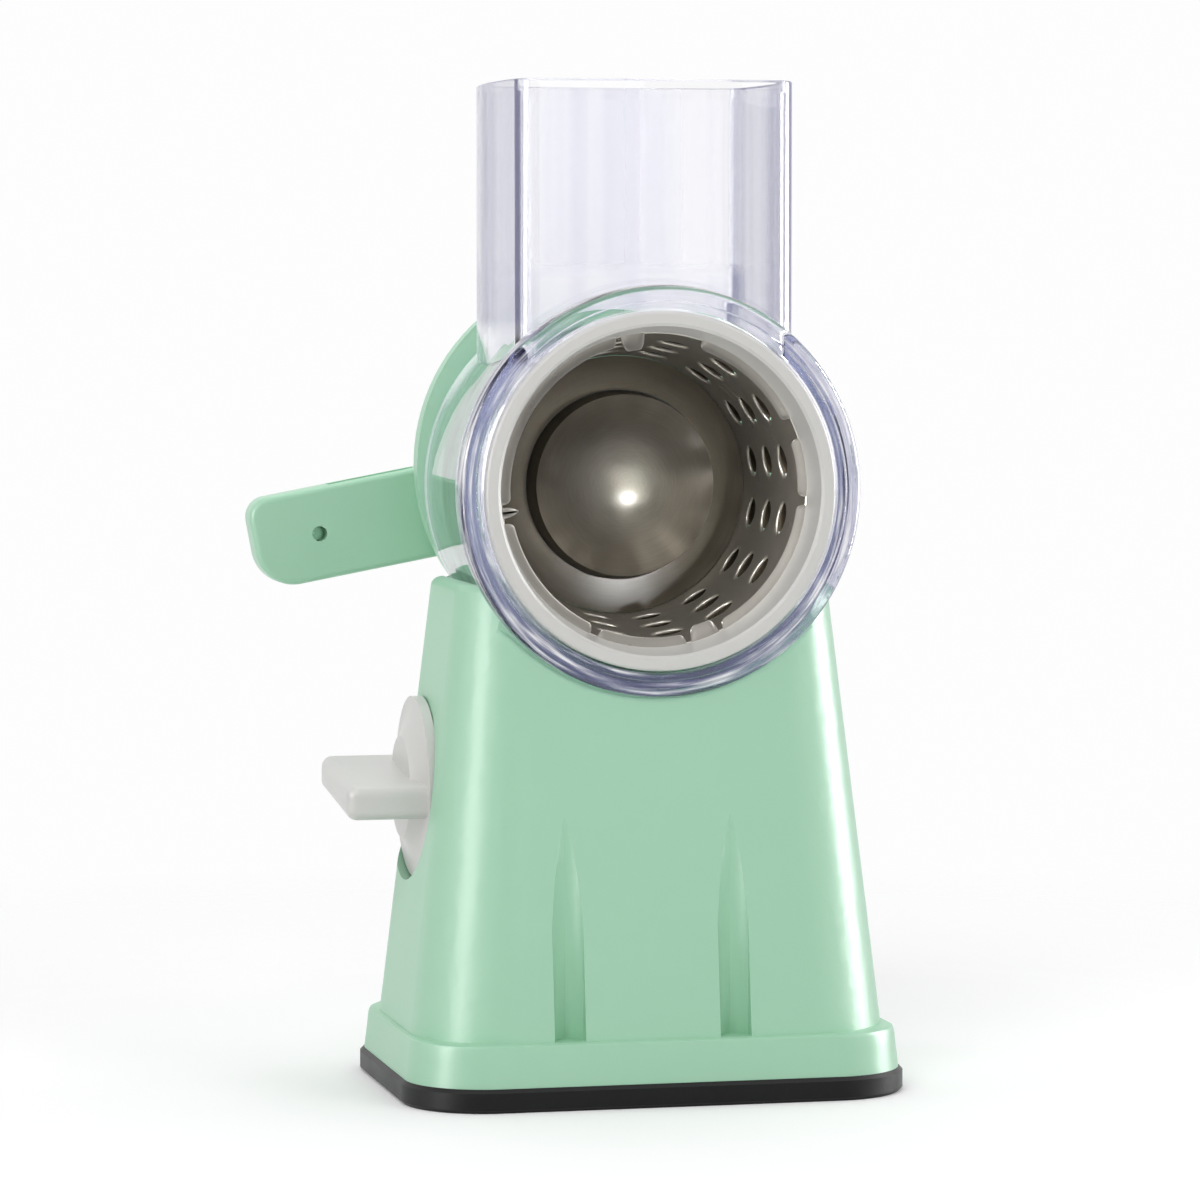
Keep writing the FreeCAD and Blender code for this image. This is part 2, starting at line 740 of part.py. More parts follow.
def bottom_plate():
    """The plate that closes the tower and guides the suction stem."""
    body = new_body("bottom_plate")
    size = tuple(span - 2 * s.fit_gap for span in CORE_FOOT)
    pad(body, boxed(body, "deck_outline", size, s.foot_corner - s.fit_gap, s.foot_thick), s.deck_thick)
    guide = sketch_on(body, "XY_Plane", "stem_guide", s.foot_thick)
    circle(guide, s.guide_radius, 0, s.knob_offset)
    pad(body, guide, s.guide_top - s.foot_thick)
    well = sketch_on(body, "XY_Plane", "deck_well", s.foot_thick)
    circle(well, s.stem_foot_radius + 1, 0, s.knob_offset)
    rise = STEM_FOOT + s.stem_foot_thick + s.stem_lift + s.face_gap - s.foot_thick
    pocket(body, well, rise, back=True)
    bore = sketch_on(body, "XY_Plane", "guide_bore", s.foot_thick)
    circle(bore, s.stem_radius + s.running_gap, 0, s.knob_offset)
    pocket(body, bore, s.guide_top, back=True)
    holes = sketch_on(body, "XY_Plane", "deck_holes", s.foot_thick)
    sinks = sketch_on(body, "XY_Plane", "deck_sinks", s.foot_thick)
    for x, y in POSTS:
        circle(holes, s.screw_radius + s.fit_gap, x, y)
        circle(sinks, s.screw_head_radius + s.fit_gap, x, y)
    pocket(body, holes, s.deck_thick + 1, back=True)
    pocket(body, sinks, s.screw_head_thick + s.face_gap, back=True)
    feet = sketch_on(body, "XY_Plane", "bracket_pilots", DECK_TOP)
    for x in (-BRACKET_SCREW, BRACKET_SCREW):
        circle(feet, s.screw_radius + s.fit_gap, x, s.knob_offset)
    pocket(body, feet, s.deck_thick - 1)
    return body


BRACKET_OUT = s.bracket_inside / 2 + s.bracket_wall
BRACKET_SCREW = BRACKET_OUT + s.bracket_foot / 2
BRACKET_LOW = DECK_TOP + s.fit_gap


def screw(name, x, y, z, length, down=False):
    """A pan-head screw whose head sits against height z and whose shank points away."""
    way = -1 if down else 1
    head_low = z if down else z - s.screw_head_thick
    head = doc.addObject("Part::Cylinder", name + "_head")
    shank = doc.addObject("Part::Cylinder", name + "_shank")
    bind(head, "Radius", s.screw_head_radius)
    bind(head, "Height", s.screw_head_thick)
    bind(shank, "Radius", s.screw_radius)
    bind(shank, "Height", length)
    lows = {head: head_low, shank: z - length if down else z}
    for piece, low in lows.items():
        for letter, number in (("x", x), ("y", y), ("z", low)):
            bind(piece, ".Placement.Base." + letter, number)
    whole = doc.addObject("Part::Fuse", name)
    whole.Base = head
    whole.Tool = shank
    return whole


def bottom_screws():
    """Four screws up through the bottom plate into the posts."""
    seat = s.foot_thick + s.screw_head_thick + s.face_gap
    pieces = [screw("bottom_screw_%d" % number, x, y, seat - s.fit_gap, s.screw_length)
              for number, (x, y) in enumerate(POSTS, 1)]
    return group("bottom_screws", pieces)


def bracket_screws():
    """Two screws that hold the cam bracket to the bottom plate."""
    seat = BRACKET_LOW + s.bracket_wall + s.fit_gap
    length = s.bracket_wall + s.deck_thick / 2
    pieces = [screw("bracket_screw_%d" % number, x, s.knob_offset, seat, length, down=True)
              for number, x in enumerate((-BRACKET_SCREW, BRACKET_SCREW), 1)]
    return group("bracket_screws", pieces)


def cam_bracket():
    """Two cheeks that carry the knob's spindle, joined by the spring's bridge."""
    body = new_body("cam_bracket", y=s.knob_offset)
    half = s.bracket_inside / 2
    toe = BRACKET_OUT + s.bracket_foot
    step = BRACKET_LOW + s.bracket_wall
    bridge_top = s.bracket_bridge + s.bracket_wall
    right = [(half, BRACKET_LOW), (toe, BRACKET_LOW), (toe, step), (BRACKET_OUT, step),
             (BRACKET_OUT, s.bracket_top), (half, s.bracket_top), (half, bridge_top)]
    left = [(-x, z) for x, z in reversed(right)]
    under = [(-half, s.bracket_bridge), (half, s.bracket_bridge)]
    profile = sketch_on(body, "XZ_Plane", "bracket_profile", -s.bracket_depth / 2)
    outline(profile, right + left + under)
    pad(body, profile, s.bracket_depth)
    bore = sketch_on(body, "YZ_Plane", "bracket_bore", -toe)
    circle(bore, s.spindle_radius + s.running_gap, 0, s.knob_height)
    pocket(body, bore, 2 * toe, back=True)
    guide = sketch_on(body, "XY_Plane", "bridge_bore", s.bracket_bridge - 1)
    circle(guide, s.stem_radius + s.running_gap)
    pocket(body, guide, s.bracket_wall + 2, back=True)
    holes = sketch_on(body, "XY_Plane", "bracket_holes", BRACKET_LOW - 1)
    for x in (-BRACKET_SCREW, BRACKET_SCREW):
        circle(holes, s.screw_radius + s.fit_gap, x)
    pocket(body, holes, s.bracket_wall + 2, back=True)
    return body


def suction_stem():
    """The pull rod: a disc in the rubber, a rod, and a yoke round the cam."""
    body = new_body("suction_stem", y=s.knob_offset)
    yoke_low = s.knob_height - YOKE_HALF_HEIGHT - s.yoke_wall
    rod = sketch_on(body, "XZ_Plane", "stem_profile")
    neck = STEM_FOOT + s.stem_foot_thick
    outline(rod, [(0, STEM_FOOT), (s.stem_foot_radius, STEM_FOOT), (s.stem_foot_radius, neck),
                  (s.stem_radius, neck), (s.stem_radius, yoke_low + s.fit_gap), (0, yoke_low + s.fit_gap)])
    turned(body, rod)
    yoke = sketch_on(body, "YZ_Plane", "yoke", -s.cam_width / 2)
    wide = YOKE_HALF_WIDTH + s.yoke_wall
    top = s.knob_height + YOKE_HALF_HEIGHT + s.yoke_wall
    outline(yoke, box_points(-wide, yoke_low, wide, top))
    pad(body, yoke, s.cam_width)
    window = sketch_on(body, "YZ_Plane", "yoke_window", -s.cam_width)
    outline(window, box_points(-YOKE_HALF_WIDTH, yoke_low + s.yoke_wall,
                               YOKE_HALF_WIDTH, top - s.yoke_wall))
    pocket(body, window, 2 * s.cam_width, back=True)
    return body


def spring_collar():
    """The ring on the stem that the spring pushes down."""
    return stem_part("spring_collar", ring_points(s.stem_radius + s.fit_gap, s.collar_radius,
                                                  s.collar_height, s.collar_height + s.collar_thick))


def least_gap(spine, turns, wire_thick):
    """The least clear space between one turn of a coil and the others, measured on points."""
    steps = 24
    spots = spine.discretize(int(turns * steps) + 1)
    pairs = [(spot, other) for number, spot in enumerate(spots) for other in spots[number + steps // 2:]]
    return min(spot.distanceToPoint(other) for spot, other in pairs) - wire_thick


def stem_spring():
    """The return spring, one unbroken coil of wire between the collar and the bridge."""
    low = float(s.collar_height + s.collar_thick + s.spring_wire / 2 + s.fit_gap)
    high = float(s.bracket_bridge - s.spring_wire / 2 - s.fit_gap)
    radius = float(s.spring_radius)
    pitch = (high - low) / float(s.spring_turns)
    path = Part.Wire(Part.makeHelix(pitch, high - low, radius).Edges)
    wire = Part.Circle(Vector(radius, 0, 0), Vector(0, 1, 0), float(s.spring_wire) / 2)
    coil = path.makePipeShell([Part.Wire(wire.toShape())], True, True)
    clear = least_gap(path, float(s.spring_turns), float(s.spring_wire))
    print("stem_spring least gap between turns, mm:", round(clear, 2))
    spring = doc.addObject("Part::Feature", "stem_spring")
    spring.Shape = coil
    spring.Placement = Placement(Vector(0, float(s.knob_offset), low), UPRIGHT)
    return spring


def lock_knob():
    """The white knob: a domed disc with a bar to turn it by."""
    tilt = Rotation(Vector(1, 0, 0), float(s.fin_tilt))
    body = new_body("lock_knob", y=s.knob_offset, z=s.knob_height, turn=tilt * ABOUT_X)
    rim = KNOB_FACE - s.knob_rim
    dome = sketch_on(body, "XZ_Plane", "knob_dome")
    outline(dome, [(0, KNOB_FACE), (0, KNOB_DISC), (s.knob_flat_radius, KNOB_DISC, s.knob_dome / 3),
                   (s.knob_radius, rim), (s.knob_radius, KNOB_FACE)])
    turned(body, dome)
    fin = sketch_on(body, "XY_Plane", "knob_fin", KNOB_FACE - s.knob_rim)
    half_thick, half_long = s.fin_thick / 2, s.fin_length / 2
    outline(fin, box_points(-half_thick, -half_long, half_thick, half_long))
    bar = pad(body, fin, s.knob_reach + rim, back=True)

    def on_bar(edge):
        return edge.BoundBox.ZMin < float(KNOB_DISC) - 3

    fillet(body, bar, on_bar, s.fin_round)
    socket = sketch_on(body, "XY_Plane", "knob_socket", KNOB_FACE)
    circle(socket, s.spindle_radius + s.fit_gap)
    pocket(body, socket, s.spindle_socket)
    return body


def knob_spindle():
    """The spindle from the knob through the wall and both cheeks."""
    tip = KNOB_FACE - s.spindle_socket + s.fit_gap
    groove = BRACKET_OUT + s.face_gap
    groove_end = groove + s.clip_thick + 2 * s.fit_gap
    bottom = s.spindle_radius - s.clip_groove
    return knob_axis_part("knob_spindle", [
        (0, tip), (s.spindle_radius, tip), (s.spindle_radius, groove), (bottom, groove),
        (bottom, groove_end), (s.spindle_radius, groove_end), (s.spindle_radius, SPINDLE_END),
        (0, SPINDLE_END)])


def lock_cam():
    """The round cam, bored off centre, that lifts the yoke."""
    body = new_body("lock_cam", x=-s.cam_width / 2, y=s.knob_offset, z=s.knob_height, turn=ABOUT_X)
    disc = sketch_on(body, "XY_Plane", "cam_disc")
    circle(disc, s.cam_radius, 0, s.stem_lift)
    circle(disc, s.spindle_radius + s.fit_gap)
    pad(body, disc, s.cam_width)
    return body


def snap_clip(name, inner, outer, **place):
    """A flat spring clip, open on one side."""
    body = new_body(name, **place)
    flat = sketch_on(body, "XY_Plane", name + "_flat")
    sector(flat, inner, outer, 50, 310)
    pad(body, flat, s.clip_thick)
    return body


def spindle_clip():
    return snap_clip("spindle_clip", s.spindle_radius - s.clip_groove + s.fit_gap, s.spindle_radius + 3,
                     x=BRACKET_OUT + s.face_gap + s.fit_gap, y=s.knob_offset, z=s.knob_height, turn=ABOUT_X)


def shaft_clip():
    return snap_clip("shaft_clip", s.shaft_radius - s.clip_groove + s.fit_gap, s.clip_radius,
                     y=s.boss_front - s.face_gap - s.clip_thick, z=s.axis_height, turn=ABOUT_Y)


def shaft_bush():
    """The flanged bearing in the plate."""
    bore = s.shaft_radius + s.running_gap
    return axle_part("shaft_bush", [
        (bore, s.boss_front), (s.bush_radius, s.boss_front), (s.bush_radius, PLATE_REAR),
        (s.bush_flange, PLATE_REAR), (s.bush_flange, BUSH_REAR), (bore, BUSH_REAR)])


def thrust_washer():
    return axle_part("thrust_washer", ring_points(s.shaft_radius + s.fit_gap, s.washer_radius,
                                                  WASHER_FRONT, WASHER_FRONT + s.washer_thick))


def drive_shaft():
    """The steel crank shaft: hexagon for the drum, round journal, square for the arm."""
    body = new_body("drive_shaft", z=s.axis_height, turn=ABOUT_Y)
    groove = s.boss_front - s.face_gap - s.clip_thick - s.fit_gap
    after = groove + s.clip_thick + 2 * s.fit_gap
    bottom = s.shaft_radius - s.clip_groove
    front = HUB_REAR + s.fit_gap
    journal = sketch_on(body, "XZ_Plane", "journal")
    outline(journal, [(0, front), (s.shaft_radius, front), (s.shaft_radius, groove), (bottom, groove),
                      (bottom, after), (s.shaft_radius, after), (s.shaft_radius, s.square_start),
                      (0, s.square_start)])
    turned(body, journal)
    hexagon = sketch_on(body, "XY_Plane", "drive_hex", SHAFT_TIP)
    outline(hexagon, [polar(s.hex_flats * HEX_CORNER, 60 * corner) for corner in range(6)])
    pad(body, hexagon, front - SHAFT_TIP)
    square = sketch_on(body, "XY_Plane", "arm_square", s.square_start)
    half_diagonal = s.square_side * SQUARE_CORNER
    outline(square, [polar(half_diagonal, 90 * corner + 45 - s.arm_tilt) for corner in range(4)])
    pad(body, square, s.square_length)
    thread = sketch_on(body, "XY_Plane", "thread_hole", SQUARE_END)
    circle(thread, s.crank_screw_radius + s.fit_gap)
    pocket(body, thread, s.crank_screw_length)
    return body


def arm_turn():
    """Turns a body's X along the arm and its Z along the crank's axis."""
    return Rotation(Vector(0, 1, 0), 180 - float(s.arm_tilt)) * ABOUT_Y


def crank_arm():
    """The flat green arm with its hub, the hole for the grip and the slot in its top edge."""
    body = new_body("crank_arm", z=s.axis_height, turn=arm_turn())
    half = s.arm_width / 2
    bar = sketch_on(body, "XY_Plane", "arm_bar", s.arm_front)
    outline(bar, box_points(0, -half, s.arm_reach, half))
    bar_pad = pad(body, bar, s.arm_thick)

    def corner(sign):
        def test(edge):
            box = edge.BoundBox
            at_end = box.XMin > float(s.arm_reach) - 0.01
            return at_end and abs(box.YMin - sign * float(half)) < 0.01 and box.YLength < 0.01
        return test

    low = fillet(body, bar_pad, corner(-1), s.arm_low_round)
    top = fillet(body, low, corner(1), s.arm_top_round)

    def on_faces(edge):
        return edge.BoundBox.XMax > 1 and edge.BoundBox.ZLength < 0.01

    fillet(body, top, on_faces, s.arm_edge)
    slot = sketch_on(body, "XZ_Plane", "arm_slot", -half)
    side = (s.arm_thick - s.arm_slot_width) / 2
    outline(slot, box_points(s.arm_slot_start, s.arm_front + side, s.arm_slot_end, ARM_REAR - side))
    pocket(body, slot, s.arm_slot_depth, back=True)
    hub = sketch_on(body, "XY_Plane", "arm_hub", s.arm_front)
    circle(hub, s.arm_hub_radius)
    pad(body, hub, s.arm_thick)
    boss = sketch_on(body, "XY_Plane", "arm_boss", ARM_HUB_FRONT)
    circle(boss, s.arm_boss_radius)
    pad(body, boss, ARM_REAR - ARM_HUB_FRONT)
    bore = sketch_on(body, "XY_Plane", "arm_bore", ARM_HUB_FRONT - 1)
    circle(bore, s.shaft_radius + s.fit_gap)
    pocket(body, bore, s.square_start - ARM_HUB_FRONT + 1, back=True)
    square = sketch_on(body, "XY_Plane", "arm_socket", s.square_start - 1)
    side = s.square_side / 2 + s.fit_gap
    outline(square, box_points(-side, -side, side, side))
    pocket(body, square, s.square_length + 1, back=True)
    sink = sketch_on(body, "XY_Plane", "screw_sink", SQUARE_END)
    circle(sink, s.washer_radius / 2 + 1)
    pocket(body, sink, s.arm_thick, back=True)
    hole = sketch_on(body, "XY_Plane", "grip_hole", s.arm_front - 1)
    circle(hole, s.grip_hole_radius, s.grip_reach, 0)
    pocket(body, hole, s.arm_thick + 2, back=True)
    return body


def crank_washer():
    return axle_part("crank_washer", ring_points(s.crank_screw_radius + s.fit_gap, s.washer_radius / 2,
                                                 SQUARE_END + s.fit_gap,
                                                 SQUARE_END + s.fit_gap + s.washer_thick))


def crank_screw():
    """The screw that clamps the arm to the shaft, with a cross in its head."""
    body = new_body("crank_screw", z=s.axis_height, turn=ABOUT_Y)
    seat = SQUARE_END + 2 * s.fit_gap + s.washer_thick
    top = seat + s.crank_screw_thick
    end = seat - s.crank_screw_length
    shank = sketch_on(body, "XZ_Plane", "screw_profile")
    outline(shank, [(0, end), (s.crank_screw_radius, end), (s.crank_screw_radius, seat),
                    (s.crank_screw_head, seat), (s.crank_screw_head, top), (0, top)])
    turned(body, shank)
    slot = sketch_on(body, "XY_Plane", "screw_cross", top)
    wide, long = s.screw_slot_width / 2, s.crank_screw_head * 0.6
    outline(slot, [(-long, -wide), (-wide, -wide), (-wide, -long), (wide, -long), (wide, -wide), (long, -wide),
                   (long, wide), (wide, wide), (wide, long), (-wide, long), (-wide, wide), (-long, wide)])
    pocket(body, slot, s.screw_slot_depth)
    return body


def grip_place():
    """Where the grip's axis crosses the arm, from the crank's axis."""
    return dict(x=-(s.grip_reach * cosine(s.arm_tilt)), z=s.axis_height - s.grip_reach * sine(s.arm_tilt))


def grip_pin():
    """The fixed pin that the grip turns on."""
    start = ARM_REAR + s.face_gap
    end = start + s.grip_length - s.grip_head_thick
    nose = s.arm_front + s.grip_hole_depth
    thin = s.grip_hole_radius - s.fit_gap
    return turned_part("grip_pin", [
        (0, nose), (thin, nose), (thin, ARM_REAR + s.fit_gap), (s.grip_pin_radius, ARM_REAR + s.fit_gap),
        (s.grip_pin_radius, end), (s.grip_head_radius, end),
        (s.grip_head_radius, end + s.grip_head_thick), (0, end + s.grip_head_thick)],
        turn=ABOUT_Y, **grip_place())


def crank_grip():
    """The turning grip, waisted for the fingers."""
    start = ARM_REAR + s.face_gap
    bore = s.grip_pin_radius + s.running_gap
    well = s.grip_head_radius + s.face_gap
    shoulder = start + s.grip_length - s.grip_head_thick - s.face_gap
    end = start + s.grip_length + s.face_gap
    third = s.grip_length / 3
    return turned_part("crank_grip", [
        (bore, start), (s.grip_waist - 0.6, start), (s.grip_waist, start + 1, s.grip_length / 60),
        (s.grip_waist, start + third, -s.grip_length / 60),
        (s.grip_radius, end - 6, -0.9), (s.grip_waist + 0.4, end), (well, end),
        (well, shoulder), (bore, shoulder)],
        turn=ABOUT_Y, **grip_place())


def hopper_barrel():
    """The clear chute and barrel, one moulding, with bayonet lugs at its rear."""
    body = new_body("hopper_barrel", z=s.axis_height, turn=ABOUT_Y)
    front = s.barrel_front
    step = front + s.flange_step_depth
    plug = sketch_on(body, "XZ_Plane", "barrel_outline")
    shoulder = front + s.flange_width
    ease, round_sag = s.flange_easing, 1 - math.sqrt(0.5)
    outline(plug, [(0, step), (s.flange_step, step), (s.flange_step, front + ease, -ease * round_sag),
                   (s.flange_step + ease, front),
                   (s.flange_radius - s.flange_round, front, -s.flange_round * round_sag),
                   (s.flange_radius, front + s.flange_round),
                   (s.flange_radius, shoulder - ease, -ease * round_sag),
                   (s.flange_radius - ease, shoulder),
                   (s.barrel_radius, shoulder), (s.barrel_rear_radius, BARREL_REAR), (0, BARREL_REAR)])
    turned(body, plug)
    middle = (s.chute_front + BARREL_REAR) / 2
    tower = sketch_on(body, "XZ_Plane", "chute_outside", up=middle)
    bowed_box(tower, s.chute_width, BARREL_REAR - s.chute_front, s.chute_corner, s.chute_bow)
    chute = pad(body, tower, s.chute_rise)
    fillet(body, chute, lies_at("Y", -s.chute_rise), s.rim_round)
    bore = sketch_on(body, "XZ_Plane", "barrel_bore")
    outline(bore, [(0, front - 1), (s.flange_mouth, front - 1), (s.flange_mouth, shoulder),
                   (s.barrel_radius - s.barrel_wall, shoulder + 1), (REAR_BORE, BARREL_REAR + 1),
                   (0, BARREL_REAR + 1)])
    turned_cut(body, bore)
    inset = 2 * s.chute_wall
    throat = sketch_on(body, "XZ_Plane", "chute_inside", up=middle)
    bowed_box(throat, s.chute_width - inset, BARREL_REAR - s.chute_front - inset,
              s.chute_corner - s.chute_wall, s.chute_bow)
    pocket(body, throat, s.chute_rise + 1, back=True)
    inset = 2 * (s.chute_wall - s.rim_step)
    rim = sketch_on(body, "XZ_Plane", "rim_step", s.chute_rise - s.rim_depth, up=middle)
    bowed_box(rim, s.chute_width - inset, BARREL_REAR - s.chute_front - inset,
              s.chute_corner - s.chute_wall + s.rim_step, s.chute_bow)
    pocket(body, rim, s.rim_depth + 1, back=True)
    lug = sketch_on(body, "XY_Plane", "bayonet_lug", LUG_MIDDLE - s.lug_thick / 2)
    outline(lug, box_points(REAR_BORE - s.lug_height, -s.lug_width / 2,
                            s.barrel_rear_radius - s.barrel_wall / 3, s.lug_width / 2))
    around(body, pad(body, lug, s.lug_thick), s.lug_count)
    return body


# Bent tabs round the drum's mouth: start and end angle, seen from the front and
# counted from the right, and how much of the full width each one has
MOUTH_TABS = ((105, 185, 1.0), (94, 103, 1.6), (27, 72, 1.0), (-3, 19, 1.0), (-63, -6, 1.0),
              (-76, -65, 1.5), (-112, -78, 1.0), (-168, -115, 1.0), (-174, -170, 1.6))


def drum_wall():
    """The plain steel tube of the drum with the bent tabs at its mouth."""
    body = new_body("drum_wall", z=s.axis_height, turn=ABOUT_Y)
    tube = sketch_on(body, "XZ_Plane", "drum_tube")
    outline(tube, [(DRUM_BORE, s.drum_mouth), (s.drum_radius, s.drum_mouth),
                   (s.drum_radius - s.drum_taper, DRUM_REAR), (FLOOR_RADIUS, DRUM_REAR)])
    turned(body, tube)
    for number, (start, end, share) in enumerate(MOUTH_TABS, 1):
        tab = sketch_on(body, "XY_Plane", "mouth_tab_%d" % number, s.drum_mouth)
        sector(tab, DRUM_BORE - s.tab_width * share, DRUM_BORE + s.steel_thick / 2, -end, -start)
        pad(body, tab, s.steel_thick)
    return body


def arch(u, half, low, crown):
    """An arc over the drum's wall at one place round it."""
    return Part.Arc(Vector(low, u, -half), Vector(crown, u, 0), Vector(low, u, half)).toShape()


def tooth_hood():
    """The raised lip behind one opening, wide at its cutting edge."""
    wall, skin, rise = float(s.drum_radius), float(s.steel_thick), float(s.tooth_rise)
    half, reach = float(s.tooth_width) / 2, float(s.tooth_length) / 2

    def section(u, width, low, crown):
        over = arch(u, width + skin, low, crown)
        under = arch(u, width, low, crown - skin)
        sides = [Part.LineSegment(a.Point, b.Point).toShape()
                 for a, b in zip(over.Vertexes, under.Vertexes)]
        return Part.Wire(Part.__sortEdges__([over, under] + sides))

    wide = section(0.6, half - 0.1, wall - skin * 0.6, wall + rise)
    narrow = section(-reach - skin, 0.5, wall - skin * 1.15, wall - skin * 0.2)
    return Part.makeLoft([wide, narrow], True, True)


def tooth_opening():
    """The pointed oval that each tooth is punched round."""
    wall, rise = float(s.drum_radius), float(s.tooth_rise)
    half, reach = float(s.tooth_width) / 2, float(s.tooth_length) / 2
    low = wall - 3 * float(s.steel_thick)
    sides = [Part.Arc(Vector(low, -reach, 0), Vector(low, 0, side), Vector(low, reach, 0)).toShape()
             for side in (half, -half)]
    return Part.Face(Part.Wire(Part.__sortEdges__(sides))).extrude(
        Vector(3 * float(s.steel_thick) + 0.3, 0, 0))


def round_the_drum(name, shape):
    """One shape repeated in columns round the drum and rows along it."""
    columns, rows = int(s.tooth_columns.value), int(s.tooth_rows.value)
    slope = float(s.drum_taper / s.drum_length)
    copies = []
    for column in range(columns):
        for row in range(rows):
            along = float(s.tooth_margin + row * s.tooth_pitch)
            copy = shape.copy()
            copy.translate(Vector(-slope * along, 0, float(s.drum_mouth) + along))
            copy.rotate(Vector(), Vector(0, 0, 1), 360 * column / columns - float(s.tooth_start))
            copies.append(copy)
    many = doc.addObject("Part::Feature", name)
    many.Shape = Part.makeCompound(copies)
    many.Placement = Placement(Vector(0, 0, float(s.axis_height)), ABOUT_Y)
    return many


def drum_shell():
    """The grating drum: steel tube, raised teeth and punched openings."""
    punched = doc.addObject("Part::Cut", "punched_wall")
    punched.Base = drum_wall()
    punched.Tool = round_the_drum("tooth_openings", tooth_opening())
    shell = doc.addObject("Part::Fuse", "drum_shell")
    shell.Base = punched
    shell.Tool = round_the_drum("tooth_hoods", tooth_hood())
    doc.recompute()
    return shell


def drum_floor():
    """The flat steel ring that closes the drum round its dome."""
    return axle_part("drum_floor", ring_points(s.dome_radius + s.face_gap, FLOOR_RADIUS - s.fit_gap,
                                               DRUM_REAR - s.steel_thick, DRUM_REAR))


def drum_dome():
    """The pressed steel dome over the hub, bulging towards the mouth."""
    side = s.dome_radius - s.dome_draft
    inner = side - s.steel_thick
    crown = DOME_SHOULDER - s.dome_crown
    return axle_part("drum_dome", [
        (0, crown + s.steel_thick), (0, crown, -cap_sag(side, s.dome_crown)), (side, DOME_SHOULDER),
        (s.dome_radius, DRUM_REAR), (s.dome_radius - s.steel_thick, DRUM_REAR),
        (inner, DOME_SHOULDER + s.steel_thick, cap_sag(inner, s.dome_crown))])


def drum_hub():
    """The plastic hub in the back of the dome, with the hexagon socket."""
    body = new_body("drum_hub", z=s.axis_height, turn=ABOUT_Y)
    plug = s.dome_radius - s.steel_thick - s.dome_draft - s.face_gap
    start = DRUM_REAR + s.fit_gap
    block = sketch_on(body, "XZ_Plane", "hub_profile")
    outline(block, [(0, HUB_FRONT), (plug, HUB_FRONT), (plug, start), (s.hub_flange_radius, start),
                    (s.hub_flange_radius, HUB_REAR), (0, HUB_REAR)])
    turned(body, block)
    socket = sketch_on(body, "XY_Plane", "hub_socket", HUB_FRONT - 1)
    corner = (s.hex_flats + 2 * s.running_gap) * HEX_CORNER
    outline(socket, [polar(corner, 60 * number) for number in range(6)])
    pocket(body, socket, HUB_REAR - HUB_FRONT + 2, back=True)
    return body


def drum_front_ring():
    """The white ring that frames the drum's mouth and grips its edge."""
    seat = s.drum_mouth - s.fit_gap
    hold = s.drum_radius + s.fit_gap
    band = hold + s.ring_band_wall
    tail = s.drum_mouth + s.ring_band
    return axle_part("drum_front_ring", [
        (s.ring_mouth, s.ring_front), (s.ring_mouth + 0.8, s.ring_front - 0.6),
        (s.ring_radius - 1.2, s.ring_front - 0.6, -0.35), (s.ring_radius, s.ring_front + 0.6),
        (s.ring_radius, seat - 1.5), (band, seat), (band, tail), (hold, tail),
        (hold, seat), (s.ring_seat, seat)])


PARTS = (base_housing, suction_pad, bottom_plate, bottom_screws, cam_bracket, bracket_screws,
         suction_stem, spring_collar, stem_spring, lock_knob, knob_spindle, lock_cam, spindle_clip,
         shaft_bush, thrust_washer, drive_shaft, shaft_clip, crank_arm, crank_washer, crank_screw,
         grip_pin, crank_grip, hopper_barrel, drum_shell, drum_floor, drum_dome, drum_hub,
         drum_front_ring)

parts = {make.__name__: make() for make in PARTS}
doc.recompute()

for thing in doc.Objects:
    if "Invalid" in thing.State or "Error" in thing.State:
        raise RuntimeError("%s: %s" % (thing.Name, thing.State))
for name, part in parts.items():
    part.Label = name
    if part.Shape.isNull() or not part.Shape.isValid():
        raise RuntimeError(name + " has no valid shape")

os.makedirs("parts", exist_ok=True)
for name, part in parts.items():
    part.Shape.exportStep("parts/%s.step" % name)
    print(name, len(part.Shape.Solids), "solids, volume", round(part.Shape.Volume))
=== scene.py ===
import math

import bmesh
import bpy
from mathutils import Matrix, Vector


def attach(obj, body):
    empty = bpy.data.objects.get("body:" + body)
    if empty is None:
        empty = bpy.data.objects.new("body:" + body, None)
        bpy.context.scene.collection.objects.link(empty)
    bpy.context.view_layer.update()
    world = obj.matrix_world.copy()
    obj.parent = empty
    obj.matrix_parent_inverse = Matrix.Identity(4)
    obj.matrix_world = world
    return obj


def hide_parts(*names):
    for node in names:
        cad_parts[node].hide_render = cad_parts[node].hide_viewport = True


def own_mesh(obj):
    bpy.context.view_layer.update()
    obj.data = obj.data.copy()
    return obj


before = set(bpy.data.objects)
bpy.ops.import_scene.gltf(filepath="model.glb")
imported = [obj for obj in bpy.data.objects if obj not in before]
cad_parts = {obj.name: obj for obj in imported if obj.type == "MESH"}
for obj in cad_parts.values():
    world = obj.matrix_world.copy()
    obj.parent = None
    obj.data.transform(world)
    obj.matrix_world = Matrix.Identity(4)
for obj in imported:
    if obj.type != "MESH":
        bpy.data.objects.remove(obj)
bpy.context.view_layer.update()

# Sizes in metres, repeated from the model
MM = 0.001
AXIS_HEIGHT = 165 * MM
BARREL_FRONT = -40.5 * MM
DRUM_MOUTH, DRUM_LENGTH = -31 * MM, 43 * MM
DRUM_RADIUS, DRUM_TAPER = 43.2 * MM, 6.5 * MM
STEEL = 0.8 * MM
TOOTH_COLUMNS, TOOTH_ROWS = 16, 3
TOOTH_START = math.radians(10)
TOOTH_MARGIN, TOOTH_PITCH = 14.5 * MM, 10.5 * MM
TOOTH_LENGTH, TOOTH_WIDTH = 8.8 * MM, 5 * MM
TAB_WIDTH = 3 * MM


# Node trees

